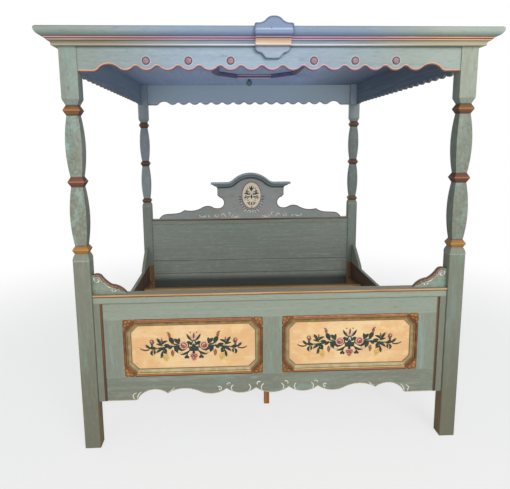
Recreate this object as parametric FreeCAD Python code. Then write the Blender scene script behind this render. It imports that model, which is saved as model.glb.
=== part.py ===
import FreeCAD, Part
import math
import os

# Four-poster canopy bed, in millimetres. X runs across the bed, Y from foot to head, Z up.
# The origin is on the floor, in the middle of the bed's outer box.

V = FreeCAD.Vector

# Mattress and plan
mattress_width = 1800.0
mattress_length = 2000.0
mattress_play_side = 10.0
mattress_play_end = 26.0
post_side = 78.0
rail_thickness = 30.0
rail_set_in = 9.0

# Posts: a square lower post carries a square-cut baluster with three collars
post_height = 1998.0
lower_square = 968.0
shoulder_rise = 32.0
shoulder_top_half = 29.0
shoulder_swell = 2.5
post_arris = 2.5
neck_half = 26.0
bulge_half = 37.0
collar_half = 37.5
collar_root_half = 27.0
collar_height = 44.0
low_collar_height = 38.0
block_slope = 18.0
block_round = 10.0
block_height = 284.0
post_dowel_radius = 14.0
post_dowel_depth = 35.0

# Joinery
fit_gap = 0.2
tenon_length = 24.0
tenon_thickness = 10.0
tenon_shoulder = 18.0
dowel_radius = 5.0
dowel_length = 44.0
screw_radius = 2.5
screw_head_radius = 5.0
screw_head_depth = 3.0
ledger_screw_length = 48.0

# Canopy
valance_thickness = 22.0
valance_height = 166.0
valance_set_in = 6.0
valance_chamfer = 8.0
lobe_pitch = 94.6
lobe_lift = 4.0
lobe_rise = 19.0
lobe_peak_half = 14.0
lobe_flat = 60.0
lobe_foot = 26.0
end_arch_half = 40.0
end_arch_rise = 31.0
cornice_drop = 58.0
cornice_out = 78.0
cornice_sole = 24.0
cornice_lip = 4.0
cove_height = 14.5
cove_run = 9.0
cove_hollow = 2.6
bead_run = 6.5
bead_rise = 7.25
bead_quirk = 1.0
fascia_quirk = 2.0
fascia_round = 26.0
fascia_top_round = 5.0
ceiling_thickness = 14.0
ceiling_planks = 5
plank_chamfer = 2.0
frame_half_width = 300.0
frame_half_depth = 415.0
frame_short_half = 125.0
frame_corner_depth = 200.0
frame_bar = 50.0
frame_bar_height = 24.0
knob_radius = 23.0
knob_stem_radius = 8.0
knob_stem = 6.0
knob_from_head = 400.0
knob_left = 22.0
rosette_radius = 17.5
rosette_height = 9.0
rosette_rim = 4.0
rosette_lift = 46.0

# Cornice cartouche
crest_step = 16.0
crest_flat_step = 10.0
crest_half = 86.0
crest_shoulder = 10.0
crest_arch_half = 64.0
crest_arch_rise = 28.0
crest_knee_half = 34.0
crest_knee_rise = 15.5
crest_corner = 9.0
crest_flare = 12.0
crest_nose = 9.0
crest_mould_half = 79.0
drop_half = 80.0
drop_height = 55.0
drop_side = 16.0
drop_waist_half = 54.0
drop_waist = 25.0
drop_heel_half = 37.0
drop_heel = 6.0
drop_tip_half = 28.0
drop_thickness = 20.0

# Footboard
foot_clearance = 247.0
apron_depth = 122.0
opening_height = 299.0
stile_width = 91.0
muntin_width = 95.0
foot_rail_height = 84.0
cap_height = 44.0
cap_depth = 70.0
cap_bead = 6.5
cap_bead_out = 5.0
cap_back_round = 6.0
frame_thickness = 30.0
frame_set_in = 15.0
panel_thickness = 12.0
panel_set_in = 12.0
panel_groove = 10.0
panel_end_gap = 2.0
mould_width = 38.0
mould_height = 16.0
mould_bead = 13.0
mould_fillet = 7.0
mould_fillet_height = 11.0
mould_lip = 3.0
mould_corner = 56.0
corner_block_height = 9.0
leaf_radius = 12.5
leaf_sink = 6.0
leaf_near = 0.27
leaf_far = 0.6
leaf_edge = 0.19
edge_board_width = 33.0
edge_board_height = 7.0
edge_strip_width = 11.0
edge_strip_height = 6.0
edge_quirk = 1.0

# Apron edge, as heights above its foot: five lobes between cusps, then two arches on each side
apron_mid_half = 83.0
apron_mid_low = 20.0
apron_lobe = 149.0
apron_lobe_low = 23.0
apron_cusp = 48.0
apron_knee_run = 140.0
apron_knee_low_run = 75.5
apron_knee = 39.0
apron_arch_run = 156.0
apron_arch_crown_run = 70.0
apron_arch = 55.0
apron_arch_cusp = 32.0
apron_end_run = 144.0
apron_end_crown_run = 79.0
apron_end_arch = 53.0
apron_toe = 15.0

# Scroll brackets above the footboard
bracket_length = 165.0
bracket_height = 100.0
bracket_thickness = 24.0
bracket_crown_run = 24.0
bracket_heel = 92.0
bracket_neck_run = 46.0
bracket_neck = 89.5
bracket_hollow = 4.0
bracket_waist_run = 93.0
bracket_waist = 45.0
bracket_lobe = 10.0
bracket_dowel_runs = (40.0, 83.0)

# Headboard
head_clearance = 227.0
head_low_plank = 130.0
head_mid_plank = 119.0
head_top_plank = 329.0
head_plank_thickness = 28.0
head_plank_set_in = 15.0
head_groove = 12.0
head_joint_chamfer = 2.5

# Headboard crest and its hood moulding
tablet_half = 290.0
tablet_low = 187.5
tablet_corner = 18.0
notch_radius = 51.0
notch_out = 6.0
notch_lip = 10.0
crest_board_thickness = 26.0
crest_board_set_in = 19.0
crest_board_end = 65.0
hood_low = 269.0
hood_height = 51.0
hood_out = 58.0
hood_shoulder = 211.0
hood_arch_radius = 180.0
hood_rise = 82.0

# Top edge of the crest board beyond its notches: shares of the run out and of the rise, then the swell
crest_wing = [(0.08, 1.04, -0.02), (0.29, 1.05, 0.2), (0.575, 0.86, -0.16), (0.745, 0.53, -0.08),
              (0.87, 0.49, 0.0), (1.0, 0.0, 0.14)]

# Side rails and bed base
rail_clearance = 247.0
rail_height = 187.0
rail_round = 4.0
wing_length = 267.0
wing_height = 166.0
wing_thickness = 24.0
wing_tip = 30.0
wing_toe = 16.0
wing_swell = 4.0
wing_dowel_shares = (0.2, 0.55)
slat_recess = 111.0
slat_thickness = 25.0
slat_width = 70.0
slat_count = 3
slat_end_gap = 5.0
slat_from_foot = 331.0
slat_from_head = 351.0
slat_round = 3.0
ledger_width = 30.0
ledger_height = 40.0
ledger_end_gap = 25.0
ledger_screws = 4
leg_side = 30.0
leg_chamfer = 3.0
leg_tenon_side = 18.0
leg_tenon_height = 15.0
plate_thickness = 2.5
plate_width = 20.0
plate_height = 140.0
hook_thickness = 3.0
hook_length = 12.0
hook_height = 18.0
hook_spacing = 80.0

# Places that follow from the sizes
half_post = post_side / 2
rail_in_x = mattress_width / 2 + mattress_play_side
rail_out_x = rail_in_x + rail_thickness
post_out_x = rail_out_x + rail_set_in
post_x = post_out_x - half_post
post_in_x = post_x - half_post
half_pitch = mattress_length / 2 + mattress_play_end + half_post
front_reach = half_post + cornice_out + crest_step
middle_y = (front_reach - half_post) / 2
foot_y = middle_y - half_pitch
head_y = middle_y + half_pitch
foot_face_y = foot_y + half_post
head_face_y = head_y - half_post

ceiling_z = post_height
joint_z = lower_square + shoulder_rise
block_z = post_height - block_height
block_neck_z = block_z - block_round - block_slope
bulge = (block_neck_z - joint_z - low_collar_height - 2 * collar_height) / 2
lower_bulge_z = joint_z + low_collar_height
mid_collar_z = lower_bulge_z + bulge
upper_bulge_z = mid_collar_z + collar_height
top_collar_z = upper_bulge_z + bulge
canopy_top_z = ceiling_z + ceiling_thickness
valance_low_z = ceiling_z - valance_height
cornice_low_z = ceiling_z - cornice_drop
cornice_height = cornice_drop + ceiling_thickness

edge_board_x = post_in_x - edge_board_width
edge_strip_x = edge_board_x - edge_strip_width
stile_x = edge_strip_x - stile_width
opening_width = stile_x - muntin_width / 2
opening_low_z = foot_clearance + apron_depth
opening_top_z = opening_low_z + opening_height
foot_cap_z = opening_top_z + foot_rail_height
foot_top_z = foot_cap_z + cap_height
frame_front_y = foot_y - half_post + frame_set_in
frame_mid_y = frame_front_y + frame_thickness / 2
head_mid_z = head_clearance + head_low_plank
head_upper_z = head_mid_z + head_mid_plank
head_cap_z = head_upper_z + head_top_plank
head_top_z = head_cap_z + cap_height
crest_board_half = post_in_x - crest_board_end
rail_top_z = rail_clearance + rail_height
slat_top_z = rail_top_z - slat_recess
slat_low_z = slat_top_z - slat_thickness

piece = {}
dowels = []
screws = []


def on_xz(y):
    return lambda u, v: V(u, y, v)


def on_yz(x):
    return lambda u, v: V(x, u, v)


def on_xy(z):
    return lambda u, v: V(u, v, z)


def edges(place, start, steps):
    """Lines and three-point arcs; an arc step is a pair of points, its middle and its end."""
    made = []
    at = start
    for step in steps:
        if isinstance(step[0], tuple):
            made.append(Part.Arc(place(*at), place(*step[0]), place(*step[1])).toShape())
            at = step[1]
        else:
            made.append(Part.makeLine(place(*at), place(*step)))
            at = step
    return made


def slab(place, start, steps, depth):
    """A closed outline pushed through along a vector."""
    wire = Part.Wire(edges(place, start, list(steps) + [start]))
    return Part.Face(wire).extrude(depth)


def flip(point):
    return (-point[0], point[1])


def end_of(step):
    return step[1] if isinstance(step[0], tuple) else step


def run_back(start, steps):
    """The same outline, run back from its far end to its start."""
    ends = [start] + [end_of(step) for step in steps]
    back = []
    for index in range(len(steps) - 1, -1, -1):
        step = steps[index]
        back.append((step[0], ends[index]) if isinstance(step[0], tuple) else ends[index])
    return back


def changed(steps, change):
    """The outline with one change made to all its points."""
    made = []
    for step in steps:
        made.append((change(step[0]), change(step[1])) if isinstance(step[0], tuple) else change(step))
    return made


def both_halves(start, steps):
    """An outline from its left end to its right end, given the right half from the middle out."""
    return flip(end_of(steps[-1])), changed(run_back(start, steps), flip) + list(steps)


def curve(a, b, swell):
    """An arc step from a to b that swells to the left of its chord."""
    length = math.hypot(b[0] - a[0], b[1] - a[1])
    middle = ((a[0] + b[0]) / 2 - swell * (b[1] - a[1]) / length,
              (a[1] + b[1]) / 2 + swell * (b[0] - a[0]) / length)
    return (middle, b)


def bend(steps, end, swell):
    """Carry an outline on to its next point along an arc that swells to the left."""
    steps.append(curve(end_of(steps[-1]), end, swell))


def dome(rim, top):
    """An arc step from a rim point to a point on the axis, with its centre on the axis."""
    rise = top[1] - rim[1]
    radius = (rim[0] ** 2 + rise ** 2) / (2 * rise)
    half = math.asin(rim[0] / abs(radius)) / 2
    return ((abs(radius) * math.sin(half), top[1] - radius + radius * math.cos(half)), top)


def box(low, high):
    near = V(min(low.x, high.x), min(low.y, high.y), min(low.z, high.z))
    far = V(max(low.x, high.x), max(low.y, high.y), max(low.z, high.z))
    return Part.makeBox(far.x - near.x, far.y - near.y, far.z - near.z, near)


def loose_box(low, high):
    """The box with the fitting gap added all round."""
    near = V(min(low.x, high.x), min(low.y, high.y), min(low.z, high.z))
    far = V(max(low.x, high.x), max(low.y, high.y), max(low.z, high.z))
    gap = V(fit_gap, fit_gap, fit_gap)
    return box(near - gap, far + gap)


def mirror_x(shape):
    return shape.mirror(V(0, 0, 0), V(1, 0, 0))


def cut(name, tool):
    piece[name] = piece[name].cut(tool)


def tenon(board, post, low, high):
    piece[board] = piece[board].fuse(box(low, high)).removeSplitter()
    cut(post, loose_box(low, high))


def dowel(names, centre, axis):
    """A glued dowel across the joint between two pieces, in a hole through both."""
    start = centre - axis * (dowel_length / 2)
    dowels.append(Part.makeCylinder(dowel_radius, dowel_length, start, axis))
    hole = Part.makeCylinder(dowel_radius + fit_gap, dowel_length, start, axis)
    for name in names:
        cut(name, hole)


def screw(names, head, axis, length):
    """A countersunk screw whose head lies flush at the given point."""
    body = Part.makeCone(screw_head_radius, screw_radius, screw_head_depth, head, axis)
    shank = Part.makeCylinder(screw_radius, length - screw_head_depth, head + axis * screw_head_depth, axis)
    solid = body.fuse(shank).removeSplitter()
    screws.append(solid)
    for name in names:
        cut(name, solid)


def square_cut(start, steps):
    """A post sawn to one outline from the front and to the same outline from the side."""
    around = list(steps) + [flip(end_of(steps[-1]))] + changed(run_back(start, steps), flip)
    front = slab(on_xz(-post_side), start, around, V(0, 2 * post_side, 0))
    side = slab(on_yz(-post_side), start, around, V(2 * post_side, 0, 0))
    return front.common(side)


def lower_post():
    steps = [(half_post, lower_square)]
    bend(steps, (shoulder_top_half, joint_z), -shoulder_swell)
    post = square_cut((half_post, 0), steps)
    for sx in (-1, 1):
        for sy in (-1, 1):
            corner = [(sx * half_post, sy * half_post)]
            corner.append((sx * (half_post - post_arris), sy * half_post))
            corner.append((sx * half_post, sy * (half_post - post_arris)))
            arris = slab(on_xy(0), corner[0], corner[1:], V(0, 0, lower_square - post_arris))
            post = post.cut(arris)
    return post


def collar(low_z, height):
    """Outline of a round-nosed collar, from its lower root up to the neck above it."""
    high_z = low_z + height
    return [((collar_half, (low_z + high_z) / 2), (collar_root_half, high_z)), (neck_half, high_z)]


def upper_post():
    steps = collar(joint_z, low_collar_height)
    for bulge_z, collar_z in ((lower_bulge_z, mid_collar_z), (upper_bulge_z, top_collar_z)):
        steps.append(((bulge_half, bulge_z + bulge / 2), (neck_half, collar_z)))
        steps.append((collar_root_half, collar_z))
        steps += collar(collar_z, collar_height)
    steps.append((half_post - block_round / 4, block_neck_z + block_slope))
    bend(steps, (half_post, block_z), -block_round / 16)
    steps.append((half_post, ceiling_z))
    return square_cut((shoulder_top_half, joint_z), steps)


def build_posts():
    low = lower_post()
    high = upper_post()
    seat = V(0, 0, joint_z - post_dowel_depth)
    hole = Part.makeCylinder(post_dowel_radius + fit_gap, 2 * post_dowel_depth, seat)
    low = low.cut(hole)
    high = high.cut(hole)
    pin = Part.makeCylinder(post_dowel_radius, 2 * post_dowel_depth, seat)
    for end, y in (("foot", foot_y), ("head", head_y)):
        for side, x in (("left", -post_x), ("right", post_x)):
            at = V(x, y, 0)
            piece["post_lower_" + end + "_" + side] = low.translated(at)
            piece["post_upper_" + end + "_" + side] = high.translated(at)
            dowels.append(pin.translated(at))


def scallops(half_length, peak_half, peak_rise):
    """Lower edge of a valance, left to right, with its flat ends at height 0."""
    lobe_half = lobe_pitch / 2 - lobe_peak_half
    knee = lobe_lift + lobe_rise * lobe_half / (lobe_pitch / 2)
    taken = lobe_flat + lobe_foot + 2 * peak_half + lobe_half
    count = int((half_length - taken) / lobe_pitch)
    last = count * lobe_pitch + lobe_half
    toe_x = last + 2 * peak_half
    flat_x = toe_x + lobe_foot
    toe = curve((toe_x, knee), (flat_x, 0), -lobe_foot / 8)
    steps = [(-flat_x, 0)]
    steps.append((flip(toe[0]), (-toe_x, knee)))
    steps.append(((-last - peak_half, peak_rise), (-last, knee)))
    for index in range(-count, count + 1):
        x = index * lobe_pitch
        steps.append(((x, lobe_lift), (x + lobe_half, knee)))
        if index < count:
            peak = x + lobe_pitch / 2
            steps.append(((peak, lobe_lift + lobe_rise), (peak + lobe_peak_half, knee)))
    steps.append(((last + peak_half, peak_rise), (toe_x, knee)))
    steps.append(toe)
    steps.append((half_length, 0))
    return (-half_length, 0), steps


def valance(half_length, peak_half, peak_rise):
    """A scalloped board in the XZ plane, its front face at Y = 0, chamfered along its lower edge."""
    start, edge = scallops(half_length, peak_half, peak_rise)
    above = edge + [(half_length, valance_height), (-half_length, valance_height)]
    board = slab(on_xz(0), start, above, V(0, valance_thickness, 0))
    below = edge + [(half_length, -2 * valance_chamfer), (-half_length, -2 * valance_chamfer)]
    slope = V(0, -valance_chamfer, valance_chamfer)
    return board.cut(slab(on_xz(valance_chamfer), start, below, slope))


def build_valances():
    across = valance(post_in_x, end_arch_half, end_arch_rise)
    along = valance(half_pitch - half_post, lobe_peak_half, lobe_lift + lobe_rise)
    foot_front = foot_y - half_post + valance_set_in
    head_front = head_y + half_post - valance_set_in - valance_thickness
    piece["valance_foot"] = across.translated(V(0, foot_front, valance_low_z))
    piece["valance_head"] = across.translated(V(0, head_front, valance_low_z))
    along.rotate(V(0, 0, 0), V(0, 0, 1), 90)
    right = along.translated(V(post_out_x - valance_set_in, middle_y, valance_low_z))
    piece["valance_right"] = right
    piece["valance_left"] = mirror_x(right)
    low = valance_low_z + end_arch_rise + tenon_shoulder
    high = ceiling_z - tenon_shoulder
    for end, y in (("foot", foot_front), ("head", head_front)):
        mid = y + valance_thickness / 2
        for side, sx in (("left", -1), ("right", 1)):
            near = V(sx * post_in_x, mid - tenon_thickness / 2, low)
            far = V(sx * (post_in_x + tenon_length), mid + tenon_thickness / 2, high)
            tenon("valance_" + end, "post_upper_" + end + "_" + side, near, far)
    for side, sx in (("left", -1), ("right", 1)):
        mid = sx * (post_out_x - valance_set_in - valance_thickness / 2)
        for end, face, run in (("foot", foot_face_y, -1), ("head", head_face_y, 1)):
            near = V(mid - tenon_thickness / 2, face, low)
            far = V(mid + tenon_thickness / 2, face + run * tenon_length, high)
            tenon("valance_" + side, "post_upper_" + end + "_" + side, near, far)


def cornice_steps():
    """Cornice section as (distance out, height), from its sole up: lip, cove, two beads, fascia."""
    steps = [(cornice_sole, 0), (cornice_sole, cornice_lip)]
    at = (cornice_sole + cove_run, cornice_lip + cove_height)
    bend(steps, at, cove_hollow)
    for bead in range(2):
        foot = (at[0] + bead_quirk, at[1])
        at = (foot[0] + bead_run, foot[1] + bead_rise)
        steps.append(foot)
        bend(steps, at, -bead_rise / 3)
    steps.append((at[0] + fascia_quirk, at[1]))
    bend(steps, (cornice_out, at[1] + fascia_round), -fascia_round / 4)
    steps.append((cornice_out, cornice_height - fascia_top_round))
    bend(steps, (cornice_out - fascia_top_round, cornice_height), fascia_top_round / 4)
    steps.append((0, cornice_height))
    return steps


def fascia_low():
    return cornice_lip + cove_height + 2 * bead_rise


def fascia_foot():
    return cornice_sole + cove_run + 2 * (bead_quirk + bead_run)


def build_packing():
    """Strips that bring the valances out to the plane of the posts behind the cornice."""
    low = cornice_low_z
    front = foot_y - half_post
    strip = box(V(-post_in_x, front, low), V(post_in_x, front + valance_set_in, ceiling_z))
    side = box(V(post_out_x - valance_set_in, foot_face_y, low), V(post_out_x, head_face_y, ceiling_z))
    piece["cornice_packing"] = Part.makeCompound([strip, side, mirror_x(side)])


def build_cornice():
    front_y = foot_y - half_post
    back_y = head_y + half_post
    reach = post_out_x + cornice_out
    steps = cornice_steps()

    def front(p, h):
        return V(-reach, front_y - p, cornice_low_z + h)

    def right(p, h):
        return V(post_out_x + p, front_y - cornice_out, cornice_low_z + h)

    run = slab(front, (0, 0), steps, V(2 * reach, 0, 0))
    mitre = [(post_out_x, front_y), (reach, front_y - cornice_out)]
    keep = slab(on_xy(cornice_low_z), flip(mitre[0]), mitre + [flip(mitre[1])], V(0, 0, cornice_height))
    piece["cornice_foot"] = run.common(keep)
    run = slab(right, (0, 0), steps, V(0, back_y - front_y + cornice_out, 0))
    square = [mitre[1], (reach, back_y), (post_out_x, back_y)]
    keep = slab(on_xy(cornice_low_z), mitre[0], square, V(0, 0, cornice_height))
    piece["cornice_right"] = run.common(keep)
    piece["cornice_left"] = mirror_x(piece["cornice_right"])


def build_ceiling():
    front_y = foot_y - half_post
    width = (2 * half_pitch + post_side) / ceiling_planks
    planks = []
    for index in range(ceiling_planks):
        low = front_y + index * width
        high = low + width
        start = (low, ceiling_z + plank_chamfer)
        steps = [(low + plank_chamfer, ceiling_z), (high - plank_chamfer, ceiling_z)]
        steps += [(high, ceiling_z + plank_chamfer), (high, canopy_top_z), (low, canopy_top_z)]
        planks.append(slab(on_yz(-post_out_x), start, steps, V(2 * post_out_x, 0, 0)))
    piece["canopy_ceiling"] = Part.makeCompound(planks)


def inset(points, depth):
    """The corners of a convex outline, given anticlockwise, moved in by a depth."""
    moved = []
    count = len(points)
    for index in range(count):
        before = points[index - 1]
        here = points[index]
        after = points[(index + 1) % count]
        a = V(here[0] - before[0], here[1] - before[1], 0).normalize()
        b = V(after[0] - here[0], after[1] - here[1], 0).normalize()
        inward = V(-a.y - b.y, a.x + b.x, 0)
        scale = depth / (1 + a.dot(b))
        moved.append((here[0] + inward.x * scale, here[1] + inward.y * scale))
    return moved


def mitred_ring(place, points, width, steps):
    """Lengths of moulding mitred round a convex outline; the section is (distance in, height)."""
    inner = inset(points, width)
    count = len(points)
    lengths = []
    for index in range(count):
        p = points[index]
        q = points[(index + 1) % count]
        length = math.hypot(q[0] - p[0], q[1] - p[1])
        ux = (q[0] - p[0]) / length
        uy = (q[1] - p[1]) / length

        def section(s, h, p=p, ux=ux, uy=uy):
            return place(p[0] - uy * s, p[1] + ux * s, h)

        def plan(u, v):
            return place(u, v, 0)

        along = place(q[0], q[1], 0) - place(p[0], p[1], 0)
        bar = slab(section, (0, 0), steps, along)
        outline = [q, inner[(index + 1) % count], inner[index]]
        rise = place(0, 0, 2 * width) - place(0, 0, 0)
        lengths.append(bar.common(slab(plan, p, outline, rise)))
    return lengths


def cut_corners(x, y, half_x, half_y, cut_x, cut_y):
    """A rectangle with its corners cut off, anticlockwise."""
    return [(x + half_x, y - half_y + cut_y), (x + half_x, y + half_y - cut_y),
            (x + half_x - cut_x, y + half_y), (x - half_x + cut_x, y + half_y),
            (x - half_x, y + half_y - cut_y), (x - half_x, y - half_y + cut_y),
            (x - half_x + cut_x, y - half_y), (x + half_x - cut_x, y - half_y)]


def build_ceiling_trim():
    corners = cut_corners(0, middle_y, frame_half_width, frame_half_depth,
                          frame_half_width - frame_short_half, frame_corner_depth)
    third = frame_bar / 3
    steps = [(frame_bar, 0), (frame_bar, frame_bar_height / 2)]
    bend(steps, (2 * third, frame_bar_height), third / 4)
    steps.append((third, frame_bar_height))
    bend(steps, (0, frame_bar_height / 2), third / 4)
    bars = mitred_ring(lambda u, v, h: V(u, v, ceiling_z - h), corners, frame_bar, steps)
    piece["canopy_ceiling_frame"] = Part.makeCompound(bars)
    neck_z = ceiling_z - knob_stem
    start = (0, ceiling_z)
    steps = [(knob_stem_radius, ceiling_z), (knob_stem_radius, neck_z)]
    bend(steps, (knob_radius, neck_z - knob_radius), knob_radius / 5)
    steps.append(dome((knob_radius, neck_z - knob_radius), (0, neck_z - 2 * knob_radius)))
    face = Part.Face(Part.Wire(edges(on_xz(0), start, steps + [start])))
    knob = face.revolve(V(0, 0, 0), V(0, 0, 1), 360)
    piece["canopy_knob"] = knob.translated(V(-knob_left, head_y - knob_from_head, 0))


def build_rosettes():
    face_y = foot_y - half_post + valance_set_in
    rim = rosette_radius - rosette_rim
    steps = [(rosette_radius, 0), (rosette_radius, rosette_height / 2)]
    bend(steps, (rim, rosette_height / 2), -rosette_rim / 3)
    steps.append(dome((rim, rosette_height / 2), (0, rosette_height)))
    face = Part.Face(Part.Wire(edges(on_xz(0), (0, 0), steps + [(0, 0)])))
    turned = face.revolve(V(0, 0, 0), V(0, 0, 1), 360)
    turned.rotate(V(0, 0, 0), V(1, 0, 0), 90)
    discs = []
    for index in (-6, -4, -2, 2, 4, 6):
        discs.append(turned.translated(V(index * lobe_pitch, face_y, valance_low_z + rosette_lift)))
    piece["valance_rosettes"] = Part.makeCompound(discs)


def build_cartouche():
    front_y = foot_y - half_post
    low = cornice_low_z + fascia_low()
    shoulder = canopy_top_z + crest_shoulder
    top = shoulder + crest_arch_rise
    knee = (crest_knee_half, shoulder + crest_knee_rise)
    half = [curve((0, top), knee, crest_arch_rise / 7)]
    bend(half, (crest_arch_half, shoulder), -crest_arch_rise / 9)
    half.append((crest_half - crest_corner, shoulder))
    bend(half, (crest_half, shoulder - crest_corner), crest_corner / 4)
    half.append((crest_half, low))
    start, steps = both_halves((0, top), half)
    back = cornice_out
    under = fascia_foot() + crest_step
    outline = slab(on_xz(front_y - back - crest_step), start, steps, V(0, back + crest_step - under, 0))
    flat = back + crest_flat_step
    nose = back + crest_step

    def side(p, z):
        return V(-crest_half, front_y - p, z)

    section = [(flat, top), (flat, low + crest_flare + crest_nose)]
    bend(section, (nose, low + crest_nose), crest_flare / 5)
    bend(section, (flat, low), crest_nose / 5)
    section += [(under, low), (back, low + back - under)]
    run = slab(side, (back, top), section, V(2 * crest_half, 0, 0))
    piece["cartouche_crest"] = run.common(outline)

    def lower(p, h):
        return V(-crest_mould_half, front_y - p, cornice_low_z + h)

    start = (cornice_sole, 0)
    inner = []
    for step in cornice_steps()[1:]:
        if end_of(step)[1] > fascia_low() or end_of(step)[0] > fascia_foot():
            break
        inner.append(step)

    def forward(point):
        return (point[0] + crest_step, point[1])

    steps = [forward(start)] + changed(inner, forward) + [end_of(inner[-1])] + run_back(start, inner)
    piece["cartouche_moulding"] = slab(lower, start, steps[:-1], V(2 * crest_mould_half, 0, 0))

    face_y = front_y + valance_set_in
    tip_z = cornice_low_z - drop_height
    half = [(drop_tip_half, tip_z)]
    bend(half, (drop_heel_half, tip_z + drop_heel), -drop_heel / 5)
    bend(half, (drop_waist_half, tip_z + drop_waist), drop_heel / 3)
    bend(half, (drop_half, cornice_low_z - drop_side), -drop_side / 4)
    half.append((drop_half, cornice_low_z))
    start, steps = both_halves((0, tip_z), half)
    piece["cartouche_drop"] = slab(on_xz(face_y - drop_thickness), start, steps, V(0, drop_thickness, 0))


def cap(row_y, low_z):
    """A cap rail between two posts with a round bead along its front top edge."""
    top = low_z + cap_height
    front = row_y - cap_depth / 2 + cap_bead_out
    back = row_y + cap_depth / 2
    steps = [(front, low_z), (front, top - 2 * cap_bead)]
    steps.append(((front - cap_bead, top - cap_bead), (front, top)))
    steps.append((back - cap_back_round, top))
    bend(steps, (back, top - cap_back_round), cap_back_round / 4)
    return slab(on_yz(-post_in_x), (back, low_z), steps, V(2 * post_in_x, 0, 0))


def cap_tenons(name, end, row_y, low_z):
    for side, sx in (("left", -1), ("right", 1)):
        near = V(sx * post_in_x, row_y - tenon_thickness / 2, low_z + cap_height / 4)
        far = V(sx * (post_in_x + tenon_length), row_y + tenon_thickness / 2, low_z + 3 * cap_height / 4)
        tenon(name, "post_lower_" + end + "_" + side, near, far)


def apron_edge():
    """Lower edge of the apron, right half from the middle, as heights above the foot."""
    first = (apron_mid_half, apron_cusp)
    second = (first[0] + apron_lobe, apron_cusp)
    knee = (second[0] + apron_knee_run, apron_knee)
    arch = (knee[0] + apron_arch_run, apron_arch_cusp)
    toe = (arch[0] + apron_end_run, apron_toe)
    start = (0, apron_mid_low)
    steps = [curve(start, first, -(apron_cusp - apron_mid_low) / 4)]
    steps.append((((first[0] + second[0]) / 2, apron_lobe_low), second))
    steps.append(((second[0] + apron_knee_low_run, apron_lobe_low), knee))
    steps.append(((knee[0] + apron_arch_crown_run, apron_arch), arch))
    steps.append(((arch[0] + apron_end_crown_run, apron_end_arch), toe))
    bend(steps, (toe[0] + apron_toe, 0), -apron_toe / 4)
    steps.append((post_in_x, 0))
    return start, steps


def build_foot_frame():
    deep = V(0, frame_thickness, 0)
    start, steps = both_halves(*apron_edge())
    steps += [(post_in_x, apron_depth), (-post_in_x, apron_depth)]
    apron = slab(on_xz(frame_front_y), start, steps, deep)
    piece["foot_apron"] = apron.translated(V(0, 0, foot_clearance))

    def member(left, right, low, high):
        return box(V(left, frame_front_y, low), V(right, frame_front_y, high) + deep)

    half_muntin = muntin_width / 2
    piece["foot_top_rail"] = member(-post_in_x, post_in_x, opening_top_z, foot_cap_z)
    piece["foot_muntin"] = member(-half_muntin, half_muntin, opening_low_z, opening_top_z)
    stile = member(stile_x, post_in_x, opening_low_z, opening_top_z)
    piece["foot_stile_right"] = stile
    piece["foot_stile_left"] = mirror_x(stile)
    piece["foot_cap"] = cap(foot_y, foot_cap_z)

    panel_y = frame_front_y + panel_set_in
    tongue = panel_groove - panel_end_gap
    for side, sx in (("left", -1), ("right", 1)):
        near = V(sx * (half_muntin - tongue), panel_y, opening_low_z - tongue)
        far = V(sx * (stile_x + tongue), panel_y + panel_thickness, opening_top_z + tongue)
        piece["foot_panel_" + side] = box(near, far)
        grow = V(sx * panel_end_gap, 0, panel_end_gap)
        groove = box(near - grow - V(0, fit_gap, 0), far + grow + V(0, fit_gap, 0))
        for name in ("foot_apron", "foot_top_rail", "foot_muntin", "foot_stile_" + side):
            cut(name, groove)

    cap_tenons("foot_cap", "foot", foot_y, foot_cap_z)
    for name, low, high in (("foot_apron", foot_clearance + tenon_shoulder, opening_low_z - tenon_shoulder),
                            ("foot_top_rail", opening_top_z + tenon_shoulder, foot_cap_z - tenon_shoulder)):
        for side, sx in (("left", -1), ("right", 1)):
            near = V(sx * post_in_x, frame_mid_y - tenon_thickness / 2, low)
            far = V(sx * (post_in_x + tenon_length), frame_mid_y + tenon_thickness / 2, high)
            tenon(name, "post_lower_foot_" + side, near, far)

    up = V(0, 0, 1)
    quarter = muntin_width / 4
    stile_mid = (stile_x + panel_groove + post_in_x) / 2
    stile_step = (post_in_x - stile_x - panel_groove) / 4
    for name, x, step in (("foot_muntin", 0, quarter), ("foot_stile_left", -stile_mid, stile_step),
                          ("foot_stile_right", stile_mid, stile_step)):
        for dx in (-step, step):
            dowel(("foot_apron", name), V(x + dx, frame_mid_y, opening_low_z), up)
            dowel(("foot_top_rail", name), V(x + dx, frame_mid_y, opening_top_z), up)
    for index in (-3, -1, 1, 3):
        dowel(("foot_top_rail", "foot_cap"), V(index * post_in_x / 4, frame_mid_y, foot_cap_z), up)


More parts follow.
